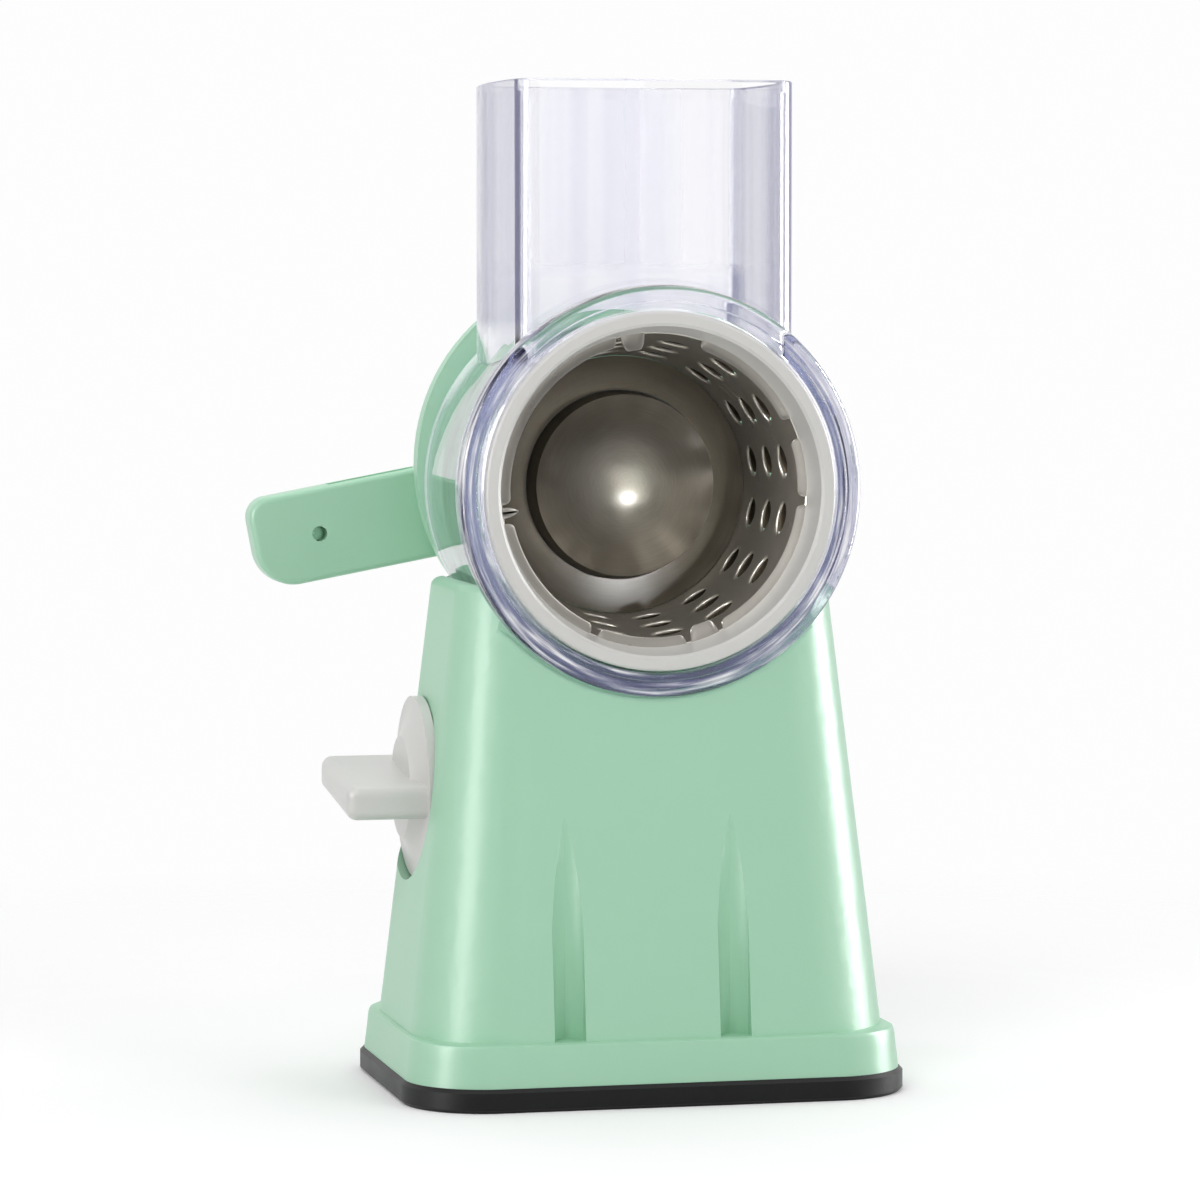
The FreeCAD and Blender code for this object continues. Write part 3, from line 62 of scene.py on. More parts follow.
class Value:
    """A socket that takes part in sums. Each sum adds its own Math node."""

    def __init__(self, graph, socket):
        self.graph = graph
        self.socket = socket

    def _math(self, operation, first, second=None):
        inputs = {0: first} if second is None else {0: first, 1: second}
        return self.graph.node("ShaderNodeMath", {"operation": operation}, inputs)

    def __add__(self, other):
        return self._math("ADD", self, other)

    def __sub__(self, other):
        return self._math("SUBTRACT", self, other)

    def __mul__(self, other):
        return self._math("MULTIPLY", self, other)

    def __truediv__(self, other):
        return self._math("DIVIDE", self, other)

    def __radd__(self, other):
        return self._math("ADD", other, self)

    def __rsub__(self, other):
        return self._math("SUBTRACT", other, self)

    def root(self):
        return self._math("SQRT", self)

    def angle_to(self, other):
        return self._math("ARCTAN2", self, other)

    def clamped(self):
        return self.graph.node("ShaderNodeClamp", {}, {"Value": self})

    def rising(self, start, width):
        """0 up to a start, then growing to 1 over a width."""
        return ((self - start) / width).clamped()

    def falling(self, end, width):
        """1 until a width before an end, and 0 from there on."""
        return ((end - self) / width).clamped()

    def stretched(self, start, gain):
        """0 up to a start, then growing to 1 with a gain."""
        return ((self - start) * gain).clamped()

    def out(self, name):
        """Another output of the same node."""
        return Value(self.graph, self.socket.node.outputs[name])


class Graph:
    """A node tree, and one way to add any node to it."""

    def __init__(self, tree):
        self.tree = tree
        self.tree.nodes.clear()

    def node(self, kind, settings=None, inputs=None):
        """Any node: its settings first, then the numbers or links of its sockets."""
        made = self.tree.nodes.new(kind)
        for name, setting in (settings or {}).items():
            setattr(made, name, setting)
        for name, given in (inputs or {}).items():
            if isinstance(given, Value):
                self.tree.links.new(given.socket, made.inputs[name])
            else:
                made.inputs[name].default_value = given
        shown = [socket for socket in made.outputs if socket.enabled]
        return Value(self, shown[0]) if shown else None

    def blended(self, factor, first, second):
        """One shader shading into another."""
        return self.node("ShaderNodeMixShader", {}, {0: factor, 1: first, 2: second})

    def seen_rays(self):
        """1 for rays that look at the background: straight, mirrored or through something clear."""
        rays = self.node("ShaderNodeLightPath")
        looks = rays.out("Is Camera Ray") + rays.out("Is Glossy Ray") + rays.out("Is Transmission Ray")
        return looks.clamped()


class Finish(Graph):
    """One material and the nodes that make it."""

    def __init__(self, name):
        self.material = bpy.data.materials.new(name)
        self.material.use_nodes = True
        super().__init__(self.material.node_tree)
        self.place = self.node("ShaderNodeTexCoord").out("Object")

    def axes(self):
        """The three parts of the place on the piece, in metres."""
        parts = self.node("ShaderNodeSeparateXYZ", {}, {"Vector": self.place})
        return parts.out("X"), parts.out("Y"), parts.out("Z")

    def around_axis(self):
        """The place on the piece, then its height above the crank's axis and its distance from it."""
        x, y, z = self.axes()
        up = z - AXIS_HEIGHT
        return x, y, z, up, (x * x + up * up).root()

    def joined(self, x, y, z):
        return self.node("ShaderNodeCombineXYZ", {}, {"X": x, "Y": y, "Z": z})

    def noise(self, scale, detail, where=None):
        inputs = {"Vector": where or self.place, "Scale": scale, "Detail": detail}
        return self.node("ShaderNodeTexNoise", {}, inputs)

    def ring_noise(self, detail, turning, outwards, along):
        """Noise in rings about the crank's axis: how fast it changes round them, outwards and along it."""
        x, y, _, up, radius = self.around_axis()
        where = self.joined(x / radius * turning, up / radius * turning, radius * outwards + y * along)
        return self.noise(scale=1, detail=detail, where=where)

    @staticmethod
    def varied(level, *noises):
        """A level that each noise moves up and down by its own amount."""
        for noise, amount in noises:
            level = level + (noise - 0.5) * amount
        return level

    def mixed(self, factor, first, second):
        """One colour shading into another."""
        return self.node("ShaderNodeMix", {"data_type": "RGBA"}, {0: factor, 6: first, 7: second})

    def bump(self, height, depth, strength=1):
        """Raised detail: a height, how many metres deep 1 of it is, and how much of it shows."""
        return self.node("ShaderNodeBump", {},
                         {"Height": height, "Distance": depth, "Strength": strength})

    def shader(self, **inputs):
        named = {name.replace("_", " "): given for name, given in inputs.items()}
        return self.node("ShaderNodeBsdfPrincipled", {}, named)

    def finished(self, shader, inside=None):
        ends = {"Surface": shader}
        if inside:
            ends["Volume"] = inside
        self.node("ShaderNodeOutputMaterial", {}, ends)
        return self.material


def colour(red, green, blue):
    """A colour given on a screen, 0 to 255, as light."""
    def light(level):
        level = level / 255
        return level / 12.92 if level <= 0.04045 else ((level + 0.055) / 1.055) ** 2.4
    return light(red), light(green), light(blue), 1


# Finishes

def moulded(name, base, shade, roughness):
    """A moulded plastic: nearly even, with faint flow marks and a fine grain."""
    finish = Finish(name)
    flow = finish.noise(scale=14, detail=2)
    fine = finish.noise(scale=1800, detail=2)
    return finish.finished(finish.shader(
        Base_Color=finish.mixed(flow, base, shade),
        Roughness=finish.varied(roughness, (flow, 0.12), (fine, 0.08)),
        Normal=finish.bump(fine, depth=0.03 * MM, strength=0.6),
        Specular_IOR_Level=0.4))


def turned_steel(name, base, shade, roughness, doming):
    """Pressed steel with fine scratches round the crank's axis, and a shine as if it were more domed.

    The doming is how far that imagined dome falls, over the square of the radius.
    """
    finish = Finish(name)
    scratches = finish.ring_noise(detail=4, turning=3, outwards=2600, along=900)
    rings = finish.ring_noise(detail=2, turning=0.6, outwards=420, along=200)
    cloud = finish.noise(scale=26, detail=3)
    *_, radius = finish.around_axis()
    height = scratches * (0.004 * MM) - radius * radius * doming
    return finish.finished(finish.shader(
        Base_Color=finish.mixed((scratches * 0.5 + cloud * 0.5).clamped(), base, shade),
        Metallic=1.0,
        Roughness=finish.varied(roughness, (scratches, 0.16), (rings, 0.12)),
        Coat_Weight=0.25,
        Coat_Roughness=0.1,
        Normal=finish.bump(height, depth=1.0)))


def rolled_steel():
    """The drum's wall: polished nearly to a mirror, with long faint marks round it."""
    finish = Finish("rolled_steel")
    x, y, _, up, radius = finish.around_axis()
    around = finish.joined(x.angle_to(up) * 5, y * 2200, radius * 300)
    marks = finish.noise(scale=1, detail=3, where=around)
    cloud = finish.noise(scale=40, detail=3)
    return finish.finished(finish.shader(
        Base_Color=finish.mixed(cloud, colour(220, 216, 208), colour(200, 195, 186)),
        Metallic=0.8,
        Roughness=finish.varied(0.3, (marks, 0.12), (cloud, 0.06)),
        Normal=finish.bump(marks, depth=0.01 * MM, strength=0.15)))


def cut_steel():
    """The hoods over the slots: dulled by the punch, and coloured dark as painted shade for the shaded
    insides of the slots.
    """
    finish = Finish("cut_steel")
    drag = finish.noise(scale=700, detail=3)
    return finish.finished(finish.shader(
        Base_Color=finish.mixed(drag, colour(92, 84, 72), colour(60, 54, 45)),
        Metallic=1.0,
        Roughness=finish.varied(0.4, (drag, 0.2)),
        Normal=finish.bump(drag, depth=0.02 * MM, strength=0.3)))


def plated_steel(name, base, shade):
    """Screws, pins, clips and shafts."""
    finish = Finish(name)
    wear = finish.noise(scale=220, detail=4)
    return finish.finished(finish.shader(
        Base_Color=finish.mixed(wear, base, shade),
        Metallic=1.0,
        Roughness=0.2 + wear * 0.2,
        Normal=finish.bump(wear, depth=0.02 * MM, strength=0.3)))


def black_rubber():
    """The suction foot, with a fine grain and a little dust."""
    finish = Finish("black_rubber")
    grain = finish.noise(scale=900, detail=3)
    dust = finish.noise(scale=60, detail=4)
    return finish.finished(finish.shader(
        Base_Color=finish.mixed(dust, colour(8, 8, 8), colour(17, 17, 18)),
        Roughness=finish.varied(0.4, (dust, 0.2)),
        Specular_IOR_Level=0.25,
        Normal=finish.bump(grain, depth=0.04 * MM, strength=0.6)))


# Where the clear moulding's parts begin or end: places from front to back
FLANGE_REAR = BARREL_FRONT + 9 * MM
CHUTE_REAR = 14 * MM
BARREL_END = 26.6 * MM
# Distances from the crank's axis, and from the middle to either side
FLANGE_INNER, FLANGE_OUTER = 48.5 * MM, 57.5 * MM
CHUTE_SIDE = 34.9 * MM
# Heights above the crank's axis, and the bearing plate's top above the table
CHUTE_FOOT = 46 * MM
SIDES_FROM, REAR_FROM = 40 * MM, 20 * MM
PLATE_TOP = 222 * MM


def clear_plastic():
    """Clear styrene, faintly lavender where it is thick; a veil over parts of it glows with painted light
    behind, and carries painted reflections streaked round its flange and striped down its chute.
    """
    finish = Finish("clear_plastic")
    x, y, z, up, radius = finish.around_axis()
    streaks = finish.ring_noise(detail=3, turning=2.2, outwards=700, along=300)
    upright = finish.joined(x * 70, y * 45, z * 0.4)
    stripes = finish.noise(scale=1, detail=2, where=upright).stretched(0.48, 6)

    # Which part of the moulding a place belongs to: 1 on it, 0 away from it
    on_flange = y.falling(FLANGE_REAR, 1 * MM) * radius.rising(FLANGE_INNER, 1 * MM)
    on_flange = on_flange * radius.falling(FLANGE_OUTER, 0.5 * MM)
    chute_sides = (x * x).root().rising(CHUTE_SIDE, 0.5 * MM) * up.rising(SIDES_FROM, 6 * MM)
    behind_chute = y.rising(CHUTE_REAR, 9 * MM) * up.rising(REAR_FROM, 8 * MM)
    above_plate = z.rising(PLATE_TOP, 5 * MM)
    below_chute = up.falling(CHUTE_FOOT, 9 * MM)
    end_face = y.rising(BARREL_END, 0.6 * MM)

    # The clear plastic itself, and a veil of painted reflections and painted glow over parts of it
    ripple = finish.noise(scale=55, detail=2)
    clear = finish.shader(
        Base_Color=(1, 1, 1, 1),
        Roughness=0.0,
        Transmission_Weight=1.0,
        IOR=1.36,
        Normal=finish.bump(ripple, depth=0.5 * MM, strength=0.12))
    # Painted reflections: lavender and white streaks round the flange, pale stripes down the chute, and a
    # darker lavender on the chute's sides
    painted_streak_reflections = finish.mixed(streaks.stretched(0.47, 5), colour(122, 124, 172), colour(250, 250, 252))
    painted_stripe_reflections = finish.mixed(stripes, colour(234, 234, 239), colour(212, 212, 224))
    plain = finish.mixed(chute_sides, painted_stripe_reflections, colour(160, 160, 190))
    # Painted light: the veil glows white, except on the flange and the chute's sides
    no_glow = (on_flange + chute_sides).clamped()
    painted_light_veil = finish.shader(
        Base_Color=finish.mixed(on_flange, plain, painted_streak_reflections),
        Emission_Color=finish.mixed(no_glow, colour(255, 255, 255), colour(0, 0, 0)),
        Emission_Strength=0.22,
        Roughness=0.12)

    # How dense the veil of painted light and painted reflections is on each part
    flange_veil_streaks = streaks.stretched(0.36, 2.6)
    painted_veil_share = behind_chute * (0.72 - above_plate * (0.52 - stripes * 0.2))
    painted_veil_share = painted_veil_share + chute_sides * (0.2 + stripes * 0.4) + end_face * 0.8
    painted_veil_share = painted_veil_share + on_flange * (below_chute * 0.85 + 0.15) * flange_veil_streaks
    looked_at = finish.blended(painted_veil_share.clamped(), clear, painted_light_veil)

    # Light falls through it unhindered
    rays = finish.node("ShaderNodeLightPath")
    passing = (rays.out("Is Shadow Ray") + rays.out("Is Diffuse Ray")).clamped()
    open_ray = finish.node("ShaderNodeBsdfTransparent", {}, {"Color": (0.97, 0.97, 0.98, 1)})
    tint = finish.node("ShaderNodeVolumeAbsorption", {},
                       {"Color": (0.74, 0.74, 0.86, 1), "Density": 45.0})
    return finish.finished(finish.blended(passing, looked_at, open_ray), tint)


MINT = moulded("mint_plastic", colour(171, 217, 188), colour(165, 211, 181), roughness=0.36)
WHITE = moulded("white_plastic", colour(218, 217, 214), colour(210, 209, 206), roughness=0.33)
GREY = moulded("grey_plastic", colour(150, 152, 152), colour(138, 140, 140), roughness=0.45)
RUBBER = black_rubber()
CLEAR = clear_plastic()
DOME_STEEL = turned_steel("dome_steel", colour(168, 163, 154), colour(132, 126, 116),
                          roughness=0.45, doming=9)
# Painted shade: the drum floor's steel is a darker copy of the dome's, as it looks in shade deep in the
# drum
SHADED_FLOOR_STEEL = turned_steel("floor_steel", colour(116, 110, 98), colour(88, 82, 71),
                           roughness=0.35, doming=0.3)
ROLLED_STEEL = rolled_steel()
# Painted shade: the hoods' steel is coloured dark, as the shaded insides of the slots look
HOOD_SHADE_STEEL = cut_steel()
PLATED = plated_steel("plated_steel", colour(205, 205, 205), colour(165, 165, 168))
# The photo shows the end of the grip's pin nearly as green as the arm round it
# Painted shade: the pin's end is coloured a greyed mint, as the shaded green hole round it looks
PIN_HOLE_SHADE = plated_steel("pin_steel", colour(150, 200, 170), colour(130, 180, 150))

NODE_FINISHES = {
    MINT: ("base_housing", "bottom_plate", "crank_arm", "crank_grip"),
    WHITE: ("lock_knob", "drum_front_ring"),
    GREY: ("shaft_bush", "drum_hub", "thrust_washer", "lock_cam", "suction_stem"),
    RUBBER: ("suction_pad",),
    CLEAR: ("hopper_barrel",),
    DOME_STEEL: ("drum_dome",),
    SHADED_FLOOR_STEEL: ("drum_floor",),
    PIN_HOLE_SHADE: ("grip_pin",),
    PLATED: ("bottom_screws", "cam_bracket", "bracket_screws", "stem_spring", "drive_shaft",
             "crank_screw", "crank_washer", "shaft_clip", "knob_spindle", "spindle_clip",
             "spring_collar"),
}


# Geometry trees

class Shaper(Graph):
    """A Geometry Nodes tree with named inputs for its sizes."""

    def __init__(self, name, sizes):
        super().__init__(bpy.data.node_groups.new(name, "GeometryNodeTree"))
        face = self.tree.interface
        face.new_socket("Geometry", in_out="INPUT", socket_type="NodeSocketGeometry")
        for size, kind in sizes.items():
            face.new_socket(size, in_out="INPUT", socket_type="NodeSocket" + kind)
        face.new_socket("Geometry", in_out="OUTPUT", socket_type="NodeSocketGeometry")
        self.start = self.node("NodeGroupInput")

    def ended(self, geometry):
        self.node("NodeGroupOutput", {}, {"Geometry": geometry})
        return self.tree

    @staticmethod
    def put_on(piece, tree, sizes):
        """Adds the tree to a piece as a modifier, with its sizes."""
        modifier = piece.modifiers.new(tree.name, "NODES")
        modifier.node_group = tree
        sockets = {item.name: item.identifier for item in tree.interface.items_tree
                   if item.in_out == "INPUT"}
        for name, number in sizes.items():
            modifier[sockets[name]] = number


def smoothing_tree():
    """Joins the loose facets and shades them smooth up to a chosen edge angle within a box."""
    shaper = Shaper("smooth_facets", {"Edge Angle": "Float", "Zone Low": "Vector", "Zone High": "Vector"})
    merged = shaper.node("GeometryNodeMergeByDistance", {},
                         {"Geometry": shaper.start, "Distance": 0.002 * MM})
    smooth = shaper.node("GeometryNodeSetShadeSmooth", {}, {"Geometry": merged})
    angle = shaper.node("GeometryNodeInputMeshEdgeAngle")
    sharp = shaper.node("FunctionNodeCompare", {}, {0: angle, 1: shaper.start.out("Edge Angle")})
    place = shaper.node("GeometryNodeInputPosition")
    for operation, end in (("GREATER_THAN", "Zone Low"), ("LESS_THAN", "Zone High")):
        inside = shaper.node("FunctionNodeCompare",
                             {"data_type": "VECTOR", "mode": "ELEMENT", "operation": operation},
                             {4: place, 5: shaper.start.out(end)})
        sharp = shaper.node("FunctionNodeBooleanMath", {}, {0: sharp, 1: inside})
    return shaper.ended(shaper.node("GeometryNodeSetShadeSmooth", {"domain": "EDGE"},
                                    {"Geometry": smooth, "Selection": sharp, "Shade Smooth": False}))


# The place of the hood's finish among those of a wall cell
HOOD_FINISH = 1


def repeating_tree():
    """Repeats a flat cell in columns and rows."""
    shaper = Shaper("repeated_cells", {"Columns": "Int", "Rows": "Int", "Row Length": "Float",
                                       "Column Height": "Float", "Hood Finish": "Material"})
    start = shaper.start
    grid = shaper.node("GeometryNodeMeshGrid", {}, {
        "Size X": start.out("Row Length"), "Size Y": start.out("Column Height"),
        "Vertices X": start.out("Columns"), "Vertices Y": start.out("Rows")})
    cells = shaper.node("GeometryNodeInstanceOnPoints", {}, {"Points": grid, "Instance": start})
    joined = shaper.node("GeometryNodeRealizeInstances", {}, {"Geometry": cells})
    kind = shaper.node("GeometryNodeInputMaterialIndex")
    hoods = shaper.node("FunctionNodeCompare", {"data_type": "INT", "operation": "EQUAL"},
                        {2: kind, 3: HOOD_FINISH})
    return shaper.ended(shaper.node("GeometryNodeSetMaterial", {}, {
        "Geometry": joined, "Selection": hoods, "Material": start.out("Hood Finish")}))


SMOOTHING = smoothing_tree()
REPEATING = repeating_tree()

# Which edges stay sharp: the steep ones anywhere, and on the housing also the
# slight ones at the points of its flutes
STEEP_EDGES = {"Edge Angle": math.radians(30), "Zone Low": (-1, -1, -1), "Zone High": (1, 1, 1)}
FLUTE_EDGES = {"Edge Angle": math.radians(9), "Zone Low": (-29 * MM, -60 * MM, 18.5 * MM),
               "Zone High": (29 * MM, -38 * MM, 90 * MM)}


def smoothed(piece, has_flutes=False):
    """Shades the facets of a solid as the round faces that they stand for."""
    Shaper.put_on(piece, SMOOTHING, STEEP_EDGES)
    if has_flutes:
        Shaper.put_on(piece, SMOOTHING, FLUTE_EDGES)
    weighted = piece.modifiers.new("face_weighted", "WEIGHTED_NORMAL")
    weighted.keep_sharp = True


# Edited faces

# How near each other points are merged, and how steep an edge is that stays sharp
MERGED = 0.005 * MM
SHARP_ANGLE = math.radians(35)


def placed(name, contents):
    """A new object at the origin, in the scene."""
    thing = bpy.data.objects.new(name, contents)
    bpy.context.scene.collection.objects.link(thing)
    return thing


def piece_from(shape, name, finish):
    """A new object made from edited faces."""
    mesh = bpy.data.meshes.new(name)
    shape.to_mesh(mesh)
    shape.free()
    mesh.materials.append(finish)
    return placed(name, mesh)


def closed_up(shape):
    """Merges doubles, then turns every face outwards."""
    bmesh.ops.remove_doubles(shape, verts=shape.verts, dist=MERGED)
    bmesh.ops.recalc_face_normals(shape, faces=shape.faces)


def shaded(piece):
    """Shades a piece smooth between its sharp edges."""
    piece.data.shade_smooth()
    piece.data.set_sharp_from_angle(angle=SHARP_ANGLE)


def joined_rings(shape, rings):
    """Faces between closed rings of equally many points. Gives back the corners of each ring."""
    corners = [[shape.verts.new(point) for point in ring] for ring in rings]
    for first, second in zip(corners, corners[1:]):
        for number, (near, far) in enumerate(zip(first, second)):
            following = (number + 1) % len(first)
            shape.faces.new((near, first[following], second[following], far))
    return corners


def joined_lines(shape, lines, finish=0):
    """Faces between open lines of equally many corners."""
    for line, beside in zip(lines, lines[1:]):
        for number in range(len(line) - 1):
            face = shape.faces.new((line[number], line[number + 1], beside[number + 1], beside[number]))
            face.material_index = finish


def on_drum(radius, turn, along):
    """A place by its distance from the drum's axis, its angle, and how far behind the mouth it is."""
    return Vector((radius * math.cos(turn), DRUM_MOUTH + along, AXIS_HEIGHT + radius * math.sin(turn)))


# The drum's wall, drawn flat at its middle radius and bent round afterwards

FLAT_RADIUS = DRUM_RADIUS - STEEL - DRUM_TAPER / 2
CELL_WIDTH = 2 * math.pi * FLAT_RADIUS / TOOTH_COLUMNS

# How many steps a cell's edge has, round the drum and along it
STEPS_ROUND, STEPS_ALONG = 14, 10

# The rolled lip of a slot in millimetres: steps away from its edge, and how far
# each lies outside the wall's inner face
LIP = ((0.9, 0), (0.55, 0.03), (0.28, 0.12), (0.08, 0.34), (0, 0.62),
       (0.08, 0.9), (0.3, 0.98), (0.5, 0.92), (0.75, 0.83), (1.1, 0.8))

# How far the ends of a slot are drawn out: 0 leaves it an oval
SLOT_POINT = 0.3


def leaf(count):
    """A long oval with soft points, round the middle of a cell."""
    turns = [2 * math.pi * number / count for number in range(count)]
    return [Vector((TOOTH_LENGTH / 2 * math.cos(turn),
                    TOOTH_WIDTH / 2 * math.sin(turn) * abs(math.sin(turn)) ** SLOT_POINT, 0))
            for turn in turns]


def slot_half_width(x):
    """Half the slot's width at one place along it."""
    share = min(abs(x) / (TOOTH_LENGTH / 2), 1)
    return TOOTH_WIDTH / 2 * (1 - share * share) ** ((1 + SLOT_POINT) / 2)


def cell_edge():
    """Points round a cell's edge, evenly spaced on each side, from the middle of its right side."""
    half_x, half_y = CELL_WIDTH / 2, TOOTH_PITCH / 2
    stops = (((half_x, 0), STEPS_ALONG // 2), ((half_x, half_y), STEPS_ROUND),
             ((-half_x, half_y), STEPS_ALONG), ((-half_x, -half_y), STEPS_ROUND),
             ((half_x, -half_y), STEPS_ALONG // 2))
    points = []
    for (corner, steps), (following, _) in zip(stops, stops[1:] + stops[:1]):
        start, end = Vector((*corner, 0)), Vector((*following, 0))
        points += [start.lerp(end, number / steps) for number in range(steps)]
    return points


def hood_corners(shape, drop):
    """Rows of corners over a slot, from the hood's open edge to its tip, lowered by a drop."""
    open_edge, tip = -3.4 * MM, TOOTH_LENGTH / 2 + 0.9 * MM
    foot, rise, overlap = 0.85 * MM, 1.5 * MM, 0.75 * MM
    rows, across = 8, 10
    sides = [2 * number / across - 1 for number in range(across + 1)]
    grid = []
    for row in range(rows + 1):
        share = row / rows
        x = open_edge + (tip - open_edge) * share
        half = slot_half_width(x) + overlap * (1 - share ** 4)
        grid.append([shape.verts.new((x, half * side, foot - drop + rise * (1 - side * side) ** 0.75
                                      * (1 - share ** 2))) for side in sides])
    return grid


def add_hood(shape):
    """The raised lip over half of a slot, open on the side that cuts."""
    skin = 0.5 * MM
    layers = [hood_corners(shape, drop) for drop in (0, skin)]
    for grid in layers:
        joined_lines(shape, grid, HOOD_FINISH)
    borders = []
    for grid in layers:
        left = [row[0] for row in grid]
        right = [row[-1] for row in grid]
        borders.append(left[:-1] + grid[-1] + right[-2::-1] + grid[0][-2::-1])
    joined_lines(shape, borders, HOOD_FINISH)


def wall_cell():
    """One slot with its rolled lip and hood, in a flat piece of the wall."""
    shape = bmesh.new()
    edge = cell_edge()
    slot = leaf(len(edge))
    outwards = [(far - near).normalized() for near, far in zip(slot, edge)]
    lip = [[near + away * (step * MM) + Vector((0, 0, height * MM)) for near, away in zip(slot, outwards)]
           for step, height in LIP]

    def flat(ring, height):
        """Two rings, half-way from the lip to the cell's edge and on that edge."""
        level = Vector((0, 0, height))
        return [[point.lerp(far + level, share) for point, far in zip(ring, edge)] for share in (0.5, 1)]

    joined_rings(shape, flat(lip[0], 0)[::-1] + lip + flat(lip[-1], STEEL))
    add_hood(shape)
    return shape


def add_margin(shape, profile):
    """A strip of plain wall all round: how far along it each line lies and how far out."""
    columns = STEPS_ROUND * TOOTH_COLUMNS
    step = CELL_WIDTH / STEPS_ROUND
    joined_lines(shape, [[shape.verts.new((number * step - CELL_WIDTH / 2, along, out))
                          for number in range(columns + 1)] for along, out in profile])


def bent_round(point):
    """Bends the flat wall round the drum's cone."""
    radius = DRUM_RADIUS - STEEL - DRUM_TAPER * point.y / DRUM_LENGTH + point.z
    return on_drum(radius, TOOTH_START + point.x / FLAT_RADIUS, point.y)


def drum_wall():
    """The punched wall of the drum: repeated cells between two plain margins."""
    row_length = CELL_WIDTH * (TOOTH_COLUMNS - 1)
    cell = piece_from(wall_cell(), "drum_wall", ROLLED_STEEL)
    cell.data.materials.append(HOOD_SHADE_STEEL)
    Shaper.put_on(cell, REPEATING, {
        "Columns": TOOTH_COLUMNS, "Rows": TOOTH_ROWS, "Row Length": row_length,
        "Column Height": TOOTH_PITCH * (TOOTH_ROWS - 1), "Hood Finish": HOOD_SHADE_STEEL})
    bpy.context.view_layer.update()
    repeated = bpy.data.meshes.new_from_object(cell.evaluated_get(bpy.context.evaluated_depsgraph_get()))
    shape = bmesh.new()
    shape.from_mesh(repeated)
    middle = Vector((row_length / 2, TOOTH_MARGIN + TOOTH_PITCH, 0))
    bmesh.ops.translate(shape, verts=shape.verts, vec=middle)

    # The plain margins before and behind the teeth, with the mouth's edges cut off by a little
    low, high = TOOTH_MARGIN - TOOTH_PITCH / 2, TOOTH_MARGIN + TOOTH_PITCH * (TOOTH_ROWS - 0.5)
    ease = 0.25 * MM
    add_margin(shape, ((low, 0), (low / 2, 0), (ease, 0), (0, ease), (0, STEEL - ease), (ease, STEEL),
                       (low / 2, STEEL), (low, STEEL)))
    add_margin(shape, ((high, 0), (DRUM_LENGTH, 0), (DRUM_LENGTH, STEEL), (high, STEEL)))

    for vert in shape.verts:
        vert.co = bent_round(vert.co)
    closed_up(shape)
    cell.modifiers.clear()
    shape.to_mesh(cell.data)
    shape.free()
    bpy.data.meshes.remove(repeated)
    shaded(cell)
    return cell


# Bent tabs round the drum's mouth: start and end angle, seen from the front and
# counted from the right, and how much of the full width each one has
MOUTH_TABS = ((105, 185, 1.0), (94, 103, 1.6), (27, 72, 1.0), (-3, 19, 1.0), (-63, -6, 1.0),
              (-76, -65, 1.5), (-112, -78, 1.0), (-168, -115, 1.0), (-174, -170, 1.6))


def tab_section(width):
    """The rounded outline across a tab: distance from the axis, and from the mouth."""
    outer, nose = DRUM_RADIUS - 0.3 * MM, 0.3 * MM
    inner = outer - width
    bevel = nose * 0.3
    return [(outer, 0), (inner + nose, 0), (inner + bevel, bevel), (inner, STEEL / 2),
            (inner + bevel, STEEL - bevel), (inner + nose, STEEL), (outer, STEEL)]


def add_tab(shape, start, end, width):
    """One tab, folded in, with rounded ends."""
    corner, least = 1.6 * MM, 0.9 * MM
    corner_steps, step = 5, math.radians(2)
    corner_turn = corner / (DRUM_RADIUS - width)
    eased = [1 - math.cos(math.pi / 2 * number / corner_steps) for number in range(corner_steps)]
    middle = max(2, int((end - start) / step))
    turns = [(start + corner_turn * share, math.sqrt(1 - (1 - share) ** 2)) for share in eased]
    turns += [(start + corner_turn + (end - start - 2 * corner_turn) * number / middle, 1)
              for number in range(middle + 1)]
    turns += [(end - corner_turn * share, math.sqrt(1 - (1 - share) ** 2)) for share in reversed(eased)]
    sections = []
    for turn, share in turns:
        section = tab_section(least + (width - least) * share)
        sections.append([on_drum(radius, turn, along) for radius, along in section])
    corners = joined_rings(shape, sections)
    shape.faces.new(corners[0])
    shape.faces.new(corners[-1])


def mouth_tabs():
    """All the bent tabs round the drum's mouth."""
    shape = bmesh.new()
    for start, end, share in MOUTH_TABS:
        add_tab(shape, math.radians(start), math.radians(end), TAB_WIDTH * share)
    closed_up(shape)
    tabs = piece_from(shape, "mouth_tabs", ROLLED_STEEL)
    shaded(tabs)
    return tabs


def stem_spring():
    """The suction stem's spring as its own piece, under the collar, joined to the base."""
    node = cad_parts["stem_spring"]
    mesh = node.data.copy()
    mesh.transform(node.matrix_world)
    spring = placed("squeezed_spring", mesh)
    smoothed(spring)
    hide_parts("stem_spring")
    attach(spring, "base")
    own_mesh(spring)


for material, names in NODE_FINISHES.items():
    for name in names:
        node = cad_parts[name]
        node.data.materials.clear()
        node.data.materials.append(material)
        smoothed(node, has_flutes=name == "base_housing")

stem_spring()
wall = drum_wall()
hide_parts("drum_shell")
for piece in (wall, mouth_tabs()):
    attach(piece, "drum")


# Studio, in metres from the middle of the foot

# The floor glows a little, and further out it opens to the background
FLOOR_HALF = 6
FLOOR_GLOW = 0.15
OPENS_FROM, OPENS_OVER = 0.22, 0.3

# A dark card between the camera and the object, and a dark mat on the floor
# behind it; both show in shiny surfaces only
CARD_LEFT, CARD_RIGHT, CARD_PLACE, CARD_TOP = -0.9, 1.2, -1.2, 1.0
MAT_REAR, MAT_HEIGHT = -0.24, 0.001

# The background is white to look at and softer as a light
BACKGROUND = (0.985, 0.985, 0.985, 1)
BACKGROUND_LIGHT = 0.36

